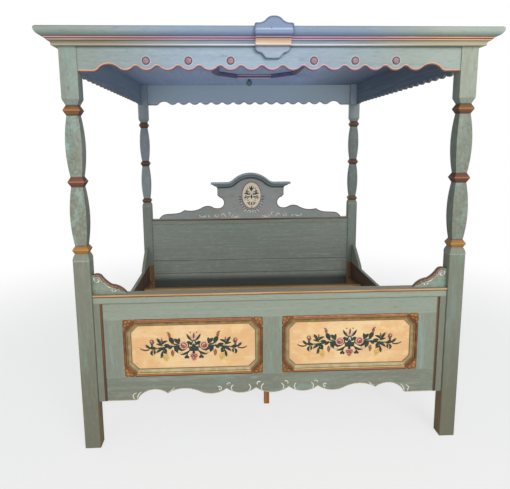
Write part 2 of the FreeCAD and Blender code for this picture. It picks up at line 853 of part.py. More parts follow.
def build_panel_mouldings():
    panel_y = frame_front_y + panel_set_in
    mid_z = opening_low_z + opening_height / 2
    mid_x = muntin_width / 2 + opening_width / 2
    bead_low = mould_fillet_height
    fillet_end = mould_bead + mould_fillet
    steps = [(mould_width, 0), (mould_width, mould_lip), (fillet_end, mould_fillet_height - mould_lip)]
    steps += [(fillet_end, mould_fillet_height), (mould_bead, mould_fillet_height)]
    steps.append(((mould_bead / 2, mould_height), (0, bead_low)))
    corners = cut_corners(mid_x, mid_z, opening_width / 2, opening_height / 2, mould_corner, mould_corner)
    bars = mitred_ring(lambda u, v, h: V(u, panel_y - h, v), corners, mould_width, steps)
    piece["foot_moulding_right"] = Part.makeCompound(bars)
    piece["foot_moulding_left"] = mirror_x(piece["foot_moulding_right"])

    block = slab(on_xz(0), (0, 0), [(mould_corner, 0), (0, mould_corner)], V(0, -corner_block_height, 0))
    leaf_y = leaf_sink - corner_block_height
    for u, v in ((leaf_near, leaf_near), (leaf_far, leaf_edge), (leaf_edge, leaf_far)):
        ball = Part.makeSphere(leaf_radius, V(u * mould_corner, leaf_y, v * mould_corner))
        keep = box(V(0, -corner_block_height, 0), V(mould_corner, -2 * leaf_radius, mould_corner))
        cap_only = ball.common(keep)
        wedge = slab(on_xz(0), (0, 0), [(mould_corner, 0), (0, mould_corner)], V(0, -3 * leaf_radius, 0))
        block = block.fuse(cap_only.common(wedge))
    block = block.removeSplitter()
    blocks = []
    turned_x = mirror_x(block)
    for shape, x in ((block, mid_x - opening_width / 2), (turned_x, mid_x + opening_width / 2)):
        low = shape.translated(V(x, panel_y, opening_low_z))
        high = shape.mirror(V(0, 0, 0), V(0, 0, 1)).translated(V(x, panel_y, opening_top_z))
        blocks += [low, high, mirror_x(low), mirror_x(high)]
    piece["foot_corner_blocks"] = Part.makeCompound(blocks)


def build_foot_trim():
    front = frame_front_y
    ease = edge_board_height / 2
    start = (post_in_x, front)
    steps = [(post_in_x, front - edge_board_height), (edge_board_x + ease, front - edge_board_height)]
    bend(steps, (edge_board_x, front - edge_board_height + ease), ease / 4)
    steps.append((edge_board_x, front - edge_quirk))
    middle = (edge_strip_x + edge_strip_width / 2, front - edge_strip_height)
    steps += [(middle, (edge_strip_x, front - edge_quirk)), (edge_strip_x, front)]
    edge = slab(on_xy(foot_clearance), start, steps, V(0, 0, foot_cap_z - foot_clearance))
    piece["foot_edge_right"] = edge
    piece["foot_edge_left"] = mirror_x(edge)

    back_y = foot_y + bracket_thickness / 2

    def mark(run, rise):
        return (post_in_x - run, foot_top_z + rise)

    steps = [mark(0, bracket_heel)]
    steps.append((mark(bracket_crown_run, bracket_height), mark(bracket_neck_run, bracket_neck)))
    bend(steps, mark(bracket_waist_run, bracket_waist), bracket_hollow)
    bend(steps, mark(bracket_length, 0), -bracket_lobe)
    bracket = slab(on_xz(back_y), mark(0, 0), steps, V(0, -bracket_thickness, 0))
    piece["foot_bracket_right"] = bracket
    piece["foot_bracket_left"] = mirror_x(bracket)
    for side, sx in (("left", -1), ("right", 1)):
        for run in bracket_dowel_runs:
            at = V(sx * (post_in_x - run), foot_y, foot_top_z)
            dowel(("foot_cap", "foot_bracket_" + side), at, V(0, 0, 1))


def build_headboard():
    front_y = head_y - half_post + head_plank_set_in
    reach = post_in_x + head_groove - fit_gap
    levels = [("head_plank_low", head_clearance, head_mid_z), ("head_plank_mid", head_mid_z, head_upper_z),
              ("head_plank_top", head_upper_z, head_cap_z)]
    nick = head_joint_chamfer
    for name, low, high in levels:
        back_y = front_y + head_plank_thickness
        steps = [(front_y + nick, low), (front_y, low + nick), (front_y, high - nick), (front_y + nick, high)]
        steps.append((back_y, high))
        piece[name] = slab(on_yz(-reach), (back_y, low), steps, V(2 * reach, 0, 0))
    for side, sx in (("left", -1), ("right", 1)):
        near = V(sx * post_in_x, front_y, head_clearance)
        far = V(sx * (post_in_x + head_groove - fit_gap), front_y + head_plank_thickness, head_cap_z)
        cut("post_lower_head_" + side, loose_box(near, far))
    piece["head_cap"] = cap(head_y, head_cap_z)
    cap_tenons("head_cap", "head", head_y, head_cap_z)


def hood_turn():
    """Angle through which the hood's line turns, and the radius of its hollow heel."""
    turn = 2 * math.atan(hood_rise / hood_shoulder)
    return turn, hood_shoulder / math.sin(turn) - hood_arch_radius


def hood_points(offset):
    """Right half of the hood's line from the top of its arch, raised square to itself by an offset."""
    turn, heel_radius = hood_turn()
    base_z = head_top_z + hood_low
    arch_z = base_z + hood_rise - hood_arch_radius
    outer = hood_arch_radius + offset
    inner = heel_radius - offset
    half = turn / 2
    top = (0, arch_z + outer)
    knee = (outer * math.sin(turn), arch_z + outer * math.cos(turn))
    arch = ((outer * math.sin(half), arch_z + outer * math.cos(half)), knee)
    heel_z = base_z + heel_radius
    heel = ((hood_shoulder - inner * math.sin(half), heel_z - inner * math.cos(half)),
            (hood_shoulder, base_z + offset))
    return top, [arch, heel]


def hood_section():
    """Hood section as (distance out, height square to its line)."""
    third = hood_out / 3
    rise = hood_height / 3
    steps = [(third / 4, 0)]
    bend(steps, (third, rise), third / 5)
    steps.append((third, rise + third / 6))
    steps.append((third + third / 6, rise + third / 6))
    bend(steps, (2 * third, 2 * rise), -third / 5)
    steps.append((2 * third + third / 4, 2 * rise))
    bend(steps, (hood_out, 2 * rise + rise / 2), -third / 6)
    steps += [(hood_out, hood_height), (0, hood_height)]
    return steps


def hood_run(front_y, reach):
    """The hood moulding along its line: a shoulder, a hollow heel and half the arch, then mirrored."""
    turn, heel_radius = hood_turn()
    base_z = head_top_z + hood_low
    degrees = math.degrees(turn)

    def section(p, n):
        return V(hood_shoulder, front_y - p, base_z + n)

    face = Part.Face(Part.Wire(edges(section, (0, 0), hood_section() + [(0, 0)])))
    shoulder = face.extrude(V(reach - hood_shoulder, 0, 0))
    across = V(0, 1, 0)
    heel = face.revolve(V(hood_shoulder, front_y, base_z + heel_radius), across, degrees)
    knee = face.copy()
    knee.rotate(V(hood_shoulder, front_y, base_z + heel_radius), across, degrees)
    arch = knee.revolve(V(0, front_y, base_z + hood_rise - hood_arch_radius), across, -degrees)
    half = shoulder.fuse([heel, arch])
    return half.fuse(mirror_x(half)).removeSplitter()


def build_head_crest():
    front_y = head_face_y + crest_board_set_in
    back_y = front_y + crest_board_thickness
    mid_y = (front_y + back_y) / 2
    base = head_top_z
    top, steps = hood_points(hood_height)
    side_low = base + tablet_low
    steps.append((tablet_half, base + hood_low + hood_height))
    steps.append((tablet_half, side_low + tablet_corner))
    notch_x = tablet_half - notch_out
    notch_z = side_low + tablet_corner / 4 - notch_radius
    lip = (notch_x - notch_lip, notch_z + math.sqrt(notch_radius ** 2 - notch_lip ** 2))
    bend(steps, lip, -tablet_corner / 6)
    steps.append(((notch_x - notch_radius, notch_z), (notch_x, notch_z - notch_radius)))
    low_z = notch_z - notch_radius
    rest = crest_board_half - notch_x
    swell = low_z - base
    for out, up, bow in crest_wing:
        mark = (notch_x + rest * out, base + swell * up)
        if bow:
            bend(steps, mark, swell * bow)
        else:
            steps.append(mark)
    start, steps = both_halves(top, steps)
    piece["head_crest"] = slab(on_xz(front_y), start, steps, V(0, crest_board_thickness, 0))

    reach = tablet_half + hood_out
    base_z = base + hood_low
    run = hood_run(front_y, reach)
    mitre = [(tablet_half, front_y), (reach, front_y - hood_out)]
    tall = V(0, 0, hood_rise + 2 * hood_height)
    keep = slab(on_xy(base_z - hood_height / 2), flip(mitre[0]), mitre + [flip(mitre[1])], tall)
    front = run.common(keep)

    def side_section(p, n):
        return V(tablet_half + p, front_y - hood_out, base_z + n)

    run = slab(side_section, (0, 0), hood_section(), V(0, hood_out + crest_board_thickness, 0))
    square = [mitre[1], (reach, back_y), (tablet_half, back_y)]
    keep = slab(on_xy(base_z - hood_height / 2), mitre[0], square, tall)
    end = run.common(keep)
    piece["head_hood"] = Part.makeCompound([front, end, mirror_x(end)])
    for index in (-3, -1, 1, 3):
        dowel(("head_cap", "head_crest"), V(index * tablet_half / 2, mid_y, base), V(0, 0, 1))


def build_side_rails():
    low = rail_clearance
    top = rail_top_z
    start = (rail_in_x, low)
    steps = [(rail_out_x, low), (rail_out_x, top - rail_round)]
    bend(steps, (rail_out_x - rail_round, top), -rail_round / 4)
    steps.append((rail_in_x + rail_round, top))
    bend(steps, (rail_in_x, top - rail_round), -rail_round / 4)
    rail = slab(on_xz(foot_face_y), start, steps, V(0, head_face_y - foot_face_y, 0))
    piece["rail_right"] = rail
    piece["rail_left"] = mirror_x(rail)

    mid_x = (rail_in_x + rail_out_x) / 2
    start = (head_face_y, top)
    steps = [(head_face_y, top + wing_height), (head_face_y - wing_tip, top + wing_height)]
    bend(steps, (head_face_y - wing_length, top + wing_toe), -wing_swell)
    steps.append((head_face_y - wing_length, top))
    wing = slab(on_yz(mid_x - wing_thickness / 2), start, steps, V(wing_thickness, 0, 0))
    piece["rail_wing_right"] = wing
    piece["rail_wing_left"] = mirror_x(wing)
    for side, sx in (("left", -1), ("right", 1)):
        for share in wing_dowel_shares:
            at = V(sx * mid_x, head_face_y - share * wing_length, top)
            dowel(("rail_" + side, "rail_wing_" + side), at, V(0, 0, 1))


def build_rail_plates():
    """Hook plates let into the rail ends, and slotted plates let into the posts."""
    mid_x = (rail_in_x + rail_out_x) / 2
    mid_z = rail_clearance + rail_height / 2
    hooks = []
    strikes = []
    for side, sx in (("left", -1), ("right", 1)):
        for end, face, into in (("foot", foot_face_y, 1), ("head", head_face_y, -1)):
            low = V(sx * mid_x - plate_width / 2, face, mid_z - plate_height / 2)
            high = V(sx * mid_x + plate_width / 2, face + into * plate_thickness, mid_z + plate_height / 2)
            plate = box(low, high)
            cut("rail_" + side, plate)
            back = V(0, into * plate_thickness, 0)
            strike = box(low - back, high - back)
            cut("post_lower_" + end + "_" + side, strike)
            for step in (-1, 1):
                hook_z = mid_z + step * hook_spacing / 2
                near = V(sx * mid_x - hook_thickness / 2, face, hook_z - hook_height / 2)
                far = V(sx * mid_x + hook_thickness / 2, face - into * hook_length, hook_z + hook_height / 2)
                plate = plate.fuse(box(near, far))
                strike = strike.cut(loose_box(near, far))
                cut("post_lower_" + end + "_" + side, loose_box(near, far))
            hooks.append(plate.removeSplitter())
            strikes.append(strike)
    piece["rail_hook_plates"] = Part.makeCompound(hooks)
    piece["post_slot_plates"] = Part.makeCompound(strikes)


def slat_places():
    first = foot_face_y + slat_from_foot
    last = head_face_y - slat_from_head
    return [first + index * (last - first) / (slat_count - 1) for index in range(slat_count)]


def build_base():
    ledger_in = rail_in_x - ledger_width
    ledger_low = slat_low_z - ledger_height
    ledger = box(V(ledger_in, foot_face_y + ledger_end_gap, ledger_low),
                 V(rail_in_x, head_face_y - ledger_end_gap, slat_low_z))
    piece["ledger_right"] = ledger
    piece["ledger_left"] = mirror_x(ledger)
    reach = rail_in_x - slat_end_gap
    length = head_face_y - foot_face_y - 2 * ledger_end_gap
    for side, sx in (("left", -1), ("right", 1)):
        for index in range(ledger_screws):
            y = foot_face_y + ledger_end_gap + length * (index + 0.5) / ledger_screws
            head = V(sx * ledger_in, y, slat_low_z - ledger_height / 2)
            screw(("ledger_" + side, "rail_" + side), head, V(sx, 0, 0), ledger_screw_length)
    for index, y in enumerate(slat_places()):
        name = "slat_" + str(index + 1)
        half = slat_width / 2
        start = (y - half, slat_low_z)
        steps = [(y + half, slat_low_z), (y + half, slat_top_z - slat_round)]
        bend(steps, (y + half - slat_round, slat_top_z), -slat_round / 4)
        steps.append((y - half + slat_round, slat_top_z))
        bend(steps, (y - half, slat_top_z - slat_round), -slat_round / 4)
        piece[name] = slab(on_yz(-reach), start, steps, V(2 * reach, 0, 0))
        stub = leg_tenon_side / 2
        low = V(-stub, y - stub, slat_low_z)
        high = V(stub, y + stub, slat_low_z + leg_tenon_height)
        piece["slat_leg_" + str(index + 1)] = slat_leg(y)
        tenon("slat_leg_" + str(index + 1), name, low, high)


def slat_leg(y):
    """A square leg under a slat, eased round its foot."""
    half = leg_side / 2
    inner = half - leg_chamfer
    start = (half, slat_low_z)
    steps = [(half, leg_chamfer), (inner, 0), (-inner, 0), (-half, leg_chamfer), (-half, slat_low_z)]
    front = slab(on_xz(-half), start, steps, V(0, leg_side, 0))
    side = slab(on_yz(-half), start, steps, V(leg_side, 0, 0))
    return front.common(side).translated(V(0, y, 0))


build_posts()
build_valances()
build_packing()
build_cornice()
build_ceiling()
build_ceiling_trim()
build_rosettes()
build_cartouche()
build_foot_frame()
build_panel_mouldings()
build_foot_trim()
build_headboard()
build_head_crest()
build_side_rails()
build_rail_plates()
build_base()
piece["joint_dowels"] = Part.makeCompound(dowels)
piece["base_screws"] = Part.makeCompound(screws)

os.makedirs("parts", exist_ok=True)
for name in sorted(piece):
    shape = piece[name]
    if not shape.isValid():
        print("not valid:", name)
    if len(shape.Solids) == 1:
        shape = shape.Solids[0]
    shape.exportStep("parts/" + name + ".step")
whole = Part.makeCompound([piece[name] for name in sorted(piece)])
room = whole.BoundBox
print("nodes", len(piece), "solids", len(whole.Solids))
print("box", round(room.XMin, 1), round(room.XMax, 1), round(room.YMin, 1), round(room.YMax, 1),
      round(room.ZMin, 1), round(room.ZMax, 1))
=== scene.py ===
import math

import bpy
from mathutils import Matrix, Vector


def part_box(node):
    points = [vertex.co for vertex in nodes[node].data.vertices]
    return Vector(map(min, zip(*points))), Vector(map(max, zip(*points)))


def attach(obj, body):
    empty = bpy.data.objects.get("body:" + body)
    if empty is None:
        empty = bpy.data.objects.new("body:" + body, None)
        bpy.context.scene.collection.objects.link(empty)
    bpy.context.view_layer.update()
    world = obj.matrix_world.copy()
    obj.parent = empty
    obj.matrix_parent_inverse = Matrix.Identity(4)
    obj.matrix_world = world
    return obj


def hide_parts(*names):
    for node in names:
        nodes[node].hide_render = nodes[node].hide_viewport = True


# A painted four-poster canopy bed. Metres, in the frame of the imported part.
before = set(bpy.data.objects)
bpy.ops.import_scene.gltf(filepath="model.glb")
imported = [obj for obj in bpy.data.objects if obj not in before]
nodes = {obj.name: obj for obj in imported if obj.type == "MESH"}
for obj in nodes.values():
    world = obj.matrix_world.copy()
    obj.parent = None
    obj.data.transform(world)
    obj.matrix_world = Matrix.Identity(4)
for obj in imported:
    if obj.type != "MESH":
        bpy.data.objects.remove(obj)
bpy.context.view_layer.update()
bpy.context.scene.view_settings.view_transform = "Standard"

POSTS = [end + "_" + side for end in ("foot", "head") for side in ("left", "right")]
# Lower and upper height of an upper post's three collars, and how far a dark line goes past them
COLLARS = ((1.0, 1.038), (1.318, 1.362), (1.642, 1.686))
COLLAR_LINE = 0.003
# The flat faces that the painting is on
PANEL_FACE = -1.030
APRON_FACE = -1.042
CREST_FACE = 1.092
# Middle of a foot panel, and half the length and height of the moulding round it
PANEL_X = 0.39175
PANEL_Z = 0.5185
MOULDING_HALF_X = 0.34425
MOULDING_HALF_Z = 0.1495
# The rosettes on the foot valance
ROSETTE_HALF_PITCH = 0.0946
ROSETTE_Z = 1.878
# From here outward the footboard's pieces lie in the shadow of the post
POST_SHADOW_X = 0.8675
# Roughness of the old paint
OLD_PAINT = 0.62


def tint(code):
    """A colour written as on screen, turned to the linear values that the shader takes."""
    parts = [int(code[i:i + 2], 16) / 255 for i in (1, 3, 5)]
    return tuple(p / 12.92 if p <= 0.04045 else ((p + 0.055) / 1.055) ** 2.4 for p in parts) + (1.0,)


def operation(name):
    """A method that adds a Math node."""
    def add(self, *other):
        return self.maths(name, self, *other)
    return add


class Value:
    """A socket of a node tree; arithmetic on it adds Math nodes."""

    def __init__(self, tree, socket):
        self.maths = tree.maths
        self.socket = socket

    __add__ = operation("ADD")
    __sub__ = operation("SUBTRACT")
    __mul__ = operation("MULTIPLY")
    __truediv__ = operation("DIVIDE")
    __abs__ = operation("ABSOLUTE")
    __lt__ = operation("LESS_THAN")
    __gt__ = operation("GREATER_THAN")
    __and__ = operation("MINIMUM")
    __or__ = operation("MAXIMUM")

    def __rsub__(self, other):
        return self.maths("SUBTRACT", other, self)


class Tree:
    """A node tree that is filled by one method."""

    def __init__(self, tree):
        self.tree = tree

    def node(self, kind, settings=None, inputs=None, output=0):
        made = self.tree.nodes.new(kind)
        for key, value in (settings or {}).items():
            setattr(made, key, value)
        for key, value in (inputs or {}).items():
            if isinstance(value, Value):
                self.tree.links.new(value.socket, made.inputs[key])
            else:
                made.inputs[key].default_value = value
        return Value(self, made.outputs[output] if made.outputs else None)

    def maths(self, operation, *terms):
        return self.node("ShaderNodeMath", {"operation": operation}, dict(enumerate(terms)))


class Finish(Tree):
    """One material, its colour built up in coats from the place on the bed."""

    def __init__(self, name):
        self.material = bpy.data.materials.new(name)
        self.material.use_nodes = True
        super().__init__(self.material.node_tree)
        self.shader = self.tree.nodes["Principled BSDF"]
        self.place = self.node("ShaderNodeTexCoord", output="Object")
        self.x, self.y, self.z = self.split(self.place)
        facing = self.node("ShaderNodeNewGeometry", output="True Normal")
        self.facing_x, self.facing_y, self.facing_z = self.split(facing)
        self.colour = None

    def split(self, vector):
        made = self.node("ShaderNodeSeparateXYZ", inputs={0: vector}).socket.node
        return [Value(self, made.outputs[i]) for i in range(3)]

    def ramp(self, value, low, high):
        """0 below low and 1 above high, with a soft step between."""
        return self.node("ShaderNodeMapRange", {"interpolation_type": "SMOOTHSTEP"},
                         {"Value": value, "From Min": low, "From Max": high})

    def fall(self, value, low, high):
        """1 below low and 0 above high."""
        return 1 - self.ramp(value, low, high)

    def band(self, value, low, high, soft=0.0008):
        """1 between low and high, and 0 outside."""
        return self.ramp(value, low - soft, low + soft) * self.fall(value, high - soft, high + soft)

    def level(self, low, high):
        """1 between two heights."""
        return self.band(self.z, low, high)

    def noise(self, scales, detail=3.0, rough=0.55):
        place = self.node("ShaderNodeVectorMath", {"operation": "MULTIPLY"}, {0: self.place, 1: scales})
        settings = {"Vector": place, "Scale": 1.0, "Detail": detail, "Roughness": rough}
        return self.node("ShaderNodeTexNoise", {}, settings)

    def grained(self, grain, across, along, detail=3.0, rough=0.55):
        """Noise drawn out along the grain, which runs along one axis."""
        return self.noise(tuple(along if axis == grain else across for axis in "XYZ"), detail, rough)

    def mix(self, share, under, over):
        """One paint over another where share is 1; a paint is a socket or a colour as on screen."""
        under, over = (tint(paint) if isinstance(paint, str) else paint for paint in (under, over))
        return self.node("ShaderNodeMix", {"data_type": "RGBA"}, {0: share, 6: under, 7: over}, 2)

    def over(self, paint, *coats):
        """A paint with coats over it, each a share and a paint."""
        for share, coat in coats:
            paint = self.mix(share, paint, coat)
        return paint

    def lay(self, share, paint):
        """One more coat over the finish."""
        self.colour = self.mix(share, self.colour, paint)

    def wash(self, value, low, high, share, paint):
        """One more coat that comes in as a value goes from low to high, which may be the lesser one."""
        come = self.ramp(value, low, high) if low < high else self.fall(value, high, low)
        self.lay(come * share, paint)

    def line(self, low, high, share, paint):
        """One more coat between two heights."""
        self.lay(self.level(low, high) * share, paint)

    def corner(self, reach):
        """1 deep in an inner corner, 0 on an open face."""
        return 1 - self.node("ShaderNodeAmbientOcclusion", {"samples": 6}, {"Distance": reach}, "AO")

    def arris(self, reach):
        """1 on an outer edge, 0 away from it."""
        return 1 - self.node("ShaderNodeAmbientOcclusion", {"samples": 6, "inside": True, "only_local": True},
                             {"Distance": reach}, "AO")

    def outward(self):
        """Above 0 on a face that looks away from the bed's middle line, below 0 on one that looks to it."""
        return self.facing_x * self.x

    def from_rosette(self):
        """Distance from the middle of the nearest rosette on the foot valance."""
        across = self.maths("WRAP", abs(self.x), ROSETTE_HALF_PITCH, -ROSETTE_HALF_PITCH)
        rise = self.z - ROSETTE_Z
        return self.maths("SQRT", across * across + rise * rise)

    def close(self, roughness, height=None, depth=0.0006):
        """Put the coats on the shader, with a height for its bump."""
        link = self.tree.links.new
        link(self.colour.socket, self.shader.inputs["Base Color"])
        self.shader.inputs["Roughness"].default_value = roughness
        if height is not None:
            bump = self.node("ShaderNodeBump", {}, {"Height": height, "Strength": 0.6, "Distance": depth})
            link(bump.socket, self.shader.inputs["Normal"])
        return self.material

    def dress(self, names, height=None, roughness=OLD_PAINT):
        """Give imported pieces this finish."""
        material = self.close(roughness, height)
        for name in names:
            mesh = nodes[name].data
            mesh.materials.clear()
            mesh.materials.append(material)

    def brushed(self, grain):
        """How the brush and the wood under it show: streaks along the grain, from 0 to 1."""
        wide = self.grained(grain, 55.0, 2.2, 4.0)
        fine = self.grained(grain, 260.0, 7.0)
        return wide * 0.6 + fine * 0.4

    def worn(self, streak):
        """Where the brush left the paint thick, from 0 to 1."""
        return self.ramp(streak, 0.4, 0.65)

    def centred(self):
        """1 at the middle of the canopy's width, where its paint is bluer, and 0 towards the posts."""
        return self.fall(abs(self.x), 0.2, 0.8)

    def green(self, grain, cool, painted_light, drifts):
        """Faded grey-green paint, bluer towards the canopy, worn at the edges, with painted light and shade.

        It gives the streaks back, for the bump."""
        streak = self.brushed(grain)
        cloud = self.noise((2.6, 2.6, 2.6), 3.0)
        drift = self.grained(grain, 17.0, 2.4, 4.0, 0.6)
        patch = self.grained(grain, 21.0, 6.0, 4.0, 0.65)
        high = self.ramp(self.z, 1.25, 1.9)
        blue = (high & (0.9 - self.ramp(abs(self.x + 0.1), 0.1, 0.95) * 0.9)) | cool
        self.colour = self.mix(high * 0.85, "#868c7c", "#939d91")
        # Painted light: the upper paint lighter towards the right-hand side.
        self.lay(high * self.ramp(self.x, 0.3, 0.9) * 0.8, "#b9c0ae")
        self.lay(blue, "#a0b3c8")
        # Painted shade: darker towards the floor.
        self.wash(self.z, 0.95, 0.2, 0.5, "#74766a")
        # Painted light: the footboard's upper boards lighter, as if lit from above.
        self.lay(painted_light, "#a8b4a2")
        pale = self.mix(blue, "#abb8a8", "#bdcbd6")
        dark = self.mix(blue, "#6f7568", "#7f90a8")
        self.wash(streak, 0.48, 0.74, 0.45, pale)
        self.wash(streak, 0.46, 0.28, 0.35, dark)
        self.wash(cloud, 0.5, 0.75, 0.3, self.mix(blue, "#8a9888", "#9bb4bc"))
        teal = self.ramp(drift, 0.53, 0.66) * (drifts - high * drifts * 0.5)
        self.lay(teal, self.mix(blue, "#8bb0a4", "#a9c0cf"))
        self.wash(drift, 0.46, 0.32, 0.35, self.mix(blue, "#9a9782", "#93a2b8"))
        self.wash(patch, 0.62, 0.78, 0.35, pale)
        self.wash(patch, 0.36, 0.22, 0.45, self.mix(blue, "#5f6155", "#6d7c90"))
        mottle = self.grained(grain, 95.0, 24.0, 4.0, 0.7)
        self.wash(mottle, 0.52, 0.7, 0.3, pale)
        self.wash(mottle, 0.48, 0.3, 0.3, dark)
        nick = self.grained(grain, 130.0, 12.0, 2.0)
        self.wash(nick, 0.73, 0.77, 0.35, "#53564b")
        rub = self.ramp(self.arris(0.006) + patch * 0.35 - 0.2, 0.26, 0.6)
        self.lay(rub * 0.5, "#c6cab8")
        scrape = self.ramp(self.arris(0.004) * streak, 0.2, 0.34)
        self.lay(scrape * 0.5, "#6d5a40")
        # Painted shade: darker in inner corners, found by ambient occlusion.
        self.wash(self.corner(0.02), 0.35, 0.95, 0.6, "#3e4038")
        return streak

    def wood(self, grain, pale, dark):
        """Bare softwood with its year rings along the grain: its colour, and a height for the bump."""
        ring = self.grained(grain, 34.0, 1.1, 5.0, 0.6)
        lines = self.maths("SINE", ring * 46.0) * 0.5 + 0.5
        pores = self.grained(grain, 420.0, 9.0, 2.0)
        colour = self.mix(lines * 0.5 + pores * 0.35, pale, dark)
        return colour, lines * 0.5 + pores * 0.5

    def gilt(self, grain):
        """Bronze paint over a red ground, rubbed through in places."""
        streak = self.brushed(grain)
        patch = self.noise((38.0, 38.0, 38.0), 4.0, 0.6)
        bronze = self.mix(self.ramp(streak, 0.35, 0.7), "#8a5526", "#b98445")
        bright = self.ramp(patch, 0.55, 0.75) * 0.7
        bare = self.fall(patch, 0.25, 0.42) * 0.8
        return self.over(bronze, (bright, "#cf9d63"), (bare, "#6b3f20"))

    def red(self, grain):
        """The iron-red accent paint."""
        streak = self.brushed(grain)
        patch = self.noise((30.0, 30.0, 30.0), 4.0, 0.6)
        iron = self.mix(self.ramp(streak, 0.35, 0.7), "#7c3f31", "#a4614d")
        return self.mix(self.ramp(patch, 0.55, 0.78) * 0.6, iron, "#b67c66")

    def from_ridge(self, low, high):
        """0 at the middle height of a collar and 1 at its upper and lower edges."""
        return abs(self.z - (low + high) / 2) / ((high - low) / 2)


def green_coat(name, grain, cool=0.0, painted_light=0.0, drifts=0.5):
    """A finish that starts with the green paint, and the paint's streaks."""
    coat = Finish(name)
    return coat, coat.green(grain, cool, painted_light, drifts)


def finish_plain(name, grain, wanted, painted_light=0.0):
    coat, streak = green_coat(name, grain, 0.0, painted_light)
    coat.dress(wanted, streak)


def pick(piece):
    """Make one piece the selected and active one."""
    bpy.ops.object.select_all(action="DESELECT")
    piece.select_set(True)
    bpy.context.view_layer.objects.active = piece


def edit_all():
    """Open the active piece with everything on it selected."""
    bpy.ops.object.mode_set(mode="EDIT")
    bpy.ops.mesh.select_all(action="SELECT")


def leave_edit():
    """Turn all normals outward and close the piece."""
    bpy.ops.mesh.select_all(action="SELECT")
    bpy.ops.mesh.normals_make_consistent(inside=False)
    bpy.ops.object.mode_set(mode="OBJECT")


def moved_copy(piece, offset):
    """A copy with its own mesh, in another place."""
    pick(piece)
    bpy.ops.object.duplicate()
    edit_all()
    bpy.ops.transform.translate(value=offset)
    leave_edit()
    return bpy.context.object


def saw_baluster(post):
    """An upper post, square in section: bevelled collars, swellings between them and a block on top."""
    low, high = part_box("post_upper_" + post)
    middle = (low + high) / 2
    block = (high.x - low.x) / 2
    # Half widths: of the foot, of a swelling at its ends and middle, of a collar at its edge and ridge
    foot = 0.029
    neck = 0.026
    swell = 0.037
    root = 0.0265
    ridge = 0.0382
    nose = 0.0012
    chamfer = 0.027
    steps = 16
    levels = [(foot, low.z)]
    for number, (start, end) in enumerate(COLLARS):
        if number:
            levels.append((root, start))
        centre = (start + end) / 2
        levels += [(ridge, centre - nose), (ridge, centre + nose), (root, end), (neck, end)]
        if start == COLLARS[-1][0]:
            break
        length = COLLARS[number + 1][0] - end
        for step in range(1, steps + 1):
            share = step / steps
            levels.append((neck + (swell - neck) * 4 * share * (1 - share), end + length * share))
    levels += [(block, levels[-1][1] + chamfer), (block, high.z)]
    bpy.ops.object.select_all(action="DESELECT")
    bpy.ops.mesh.primitive_plane_add(size=2 * foot, location=(middle.x, middle.y, low.z))
    bpy.ops.object.transform_apply(location=True, rotation=True, scale=True)
    edit_all()
    for (half, z), (next_half, next_z) in zip(levels, levels[1:]):
        bpy.ops.mesh.extrude_region_move(TRANSFORM_OT_translate={"value": (0, 0, next_z - z)})
        grow = next_half / half
        bpy.ops.transform.resize(value=(grow, grow, 1), center_override=(middle.x, middle.y, next_z))
    leave_edit()
    piece = bpy.context.object
    eased = piece.modifiers.new("eased_arris", "BEVEL")
    eased.width = 0.0012
    eased.segments = 2
    eased.limit_method = "ANGLE"
    eased.angle_limit = math.radians(40)
    bpy.ops.object.modifier_apply(modifier=eased.name)
    bpy.ops.object.shade_smooth_by_angle(angle=math.radians(25))
    return piece


def stand_balusters(material):
    """The first upper post is sawn, and the others are copies of it."""
    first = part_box("post_upper_" + POSTS[0])[0]
    pieces = [saw_baluster(POSTS[0])]
    for post in POSTS[1:]:
        pieces.append(moved_copy(pieces[0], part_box("post_upper_" + post)[0] - first))
    for post, piece in zip(POSTS, pieces):
        piece.name = "baluster_" + post
        piece.data.materials.append(material)
        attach(piece, "bedstead")
        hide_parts("post_upper_" + post)


def finish_lower_posts():
    coat, streak = green_coat("post_green", "Z")
    # Painted light: the shoulder's upward facet lighter, and a painted highlight along its lower edge.
    coat.wash(coat.z, 0.966, 0.970, 0.3, "#a9ab98")
    coat.lay(coat.level(0.9635, 0.9695) * coat.ramp(streak, 0.3, 0.6) * 0.8, "#c9c6b8")
    coat.lay((coat.x < 0) * (coat.y < 0) * 0.25, "#6e6450")
    # Painted shade: darker towards the floor, more on the right.
    painted_low_shade = coat.fall(coat.z, 0.1, 0.75) * (coat.ramp(coat.x, -0.5, 0.5) * 0.2 + 0.35)
    coat.lay(painted_low_shade, "#6c664c")
    # Painted shade on the right front post and on the rear posts.
    coat.lay(coat.ramp(coat.x, 0.5, 0.9) * (coat.y < 0) * 0.35, "#6a6856")
    coat.lay((coat.y > 0) * 0.4, "#6b7371")
    bare = coat.wood("Z", "#8e6c40", "#5c4226")[0]
    hidden = (abs(coat.x) < 0.909) & (coat.z < 0.44) & ((coat.facing_y * coat.y) < -0.7)
    below = (coat.z < 0.246) & (coat.outward() < -0.6)
    coat.lay(hidden | (below * 0.7), bare)
    coat.dress(["post_lower_" + post for post in POSTS], streak)


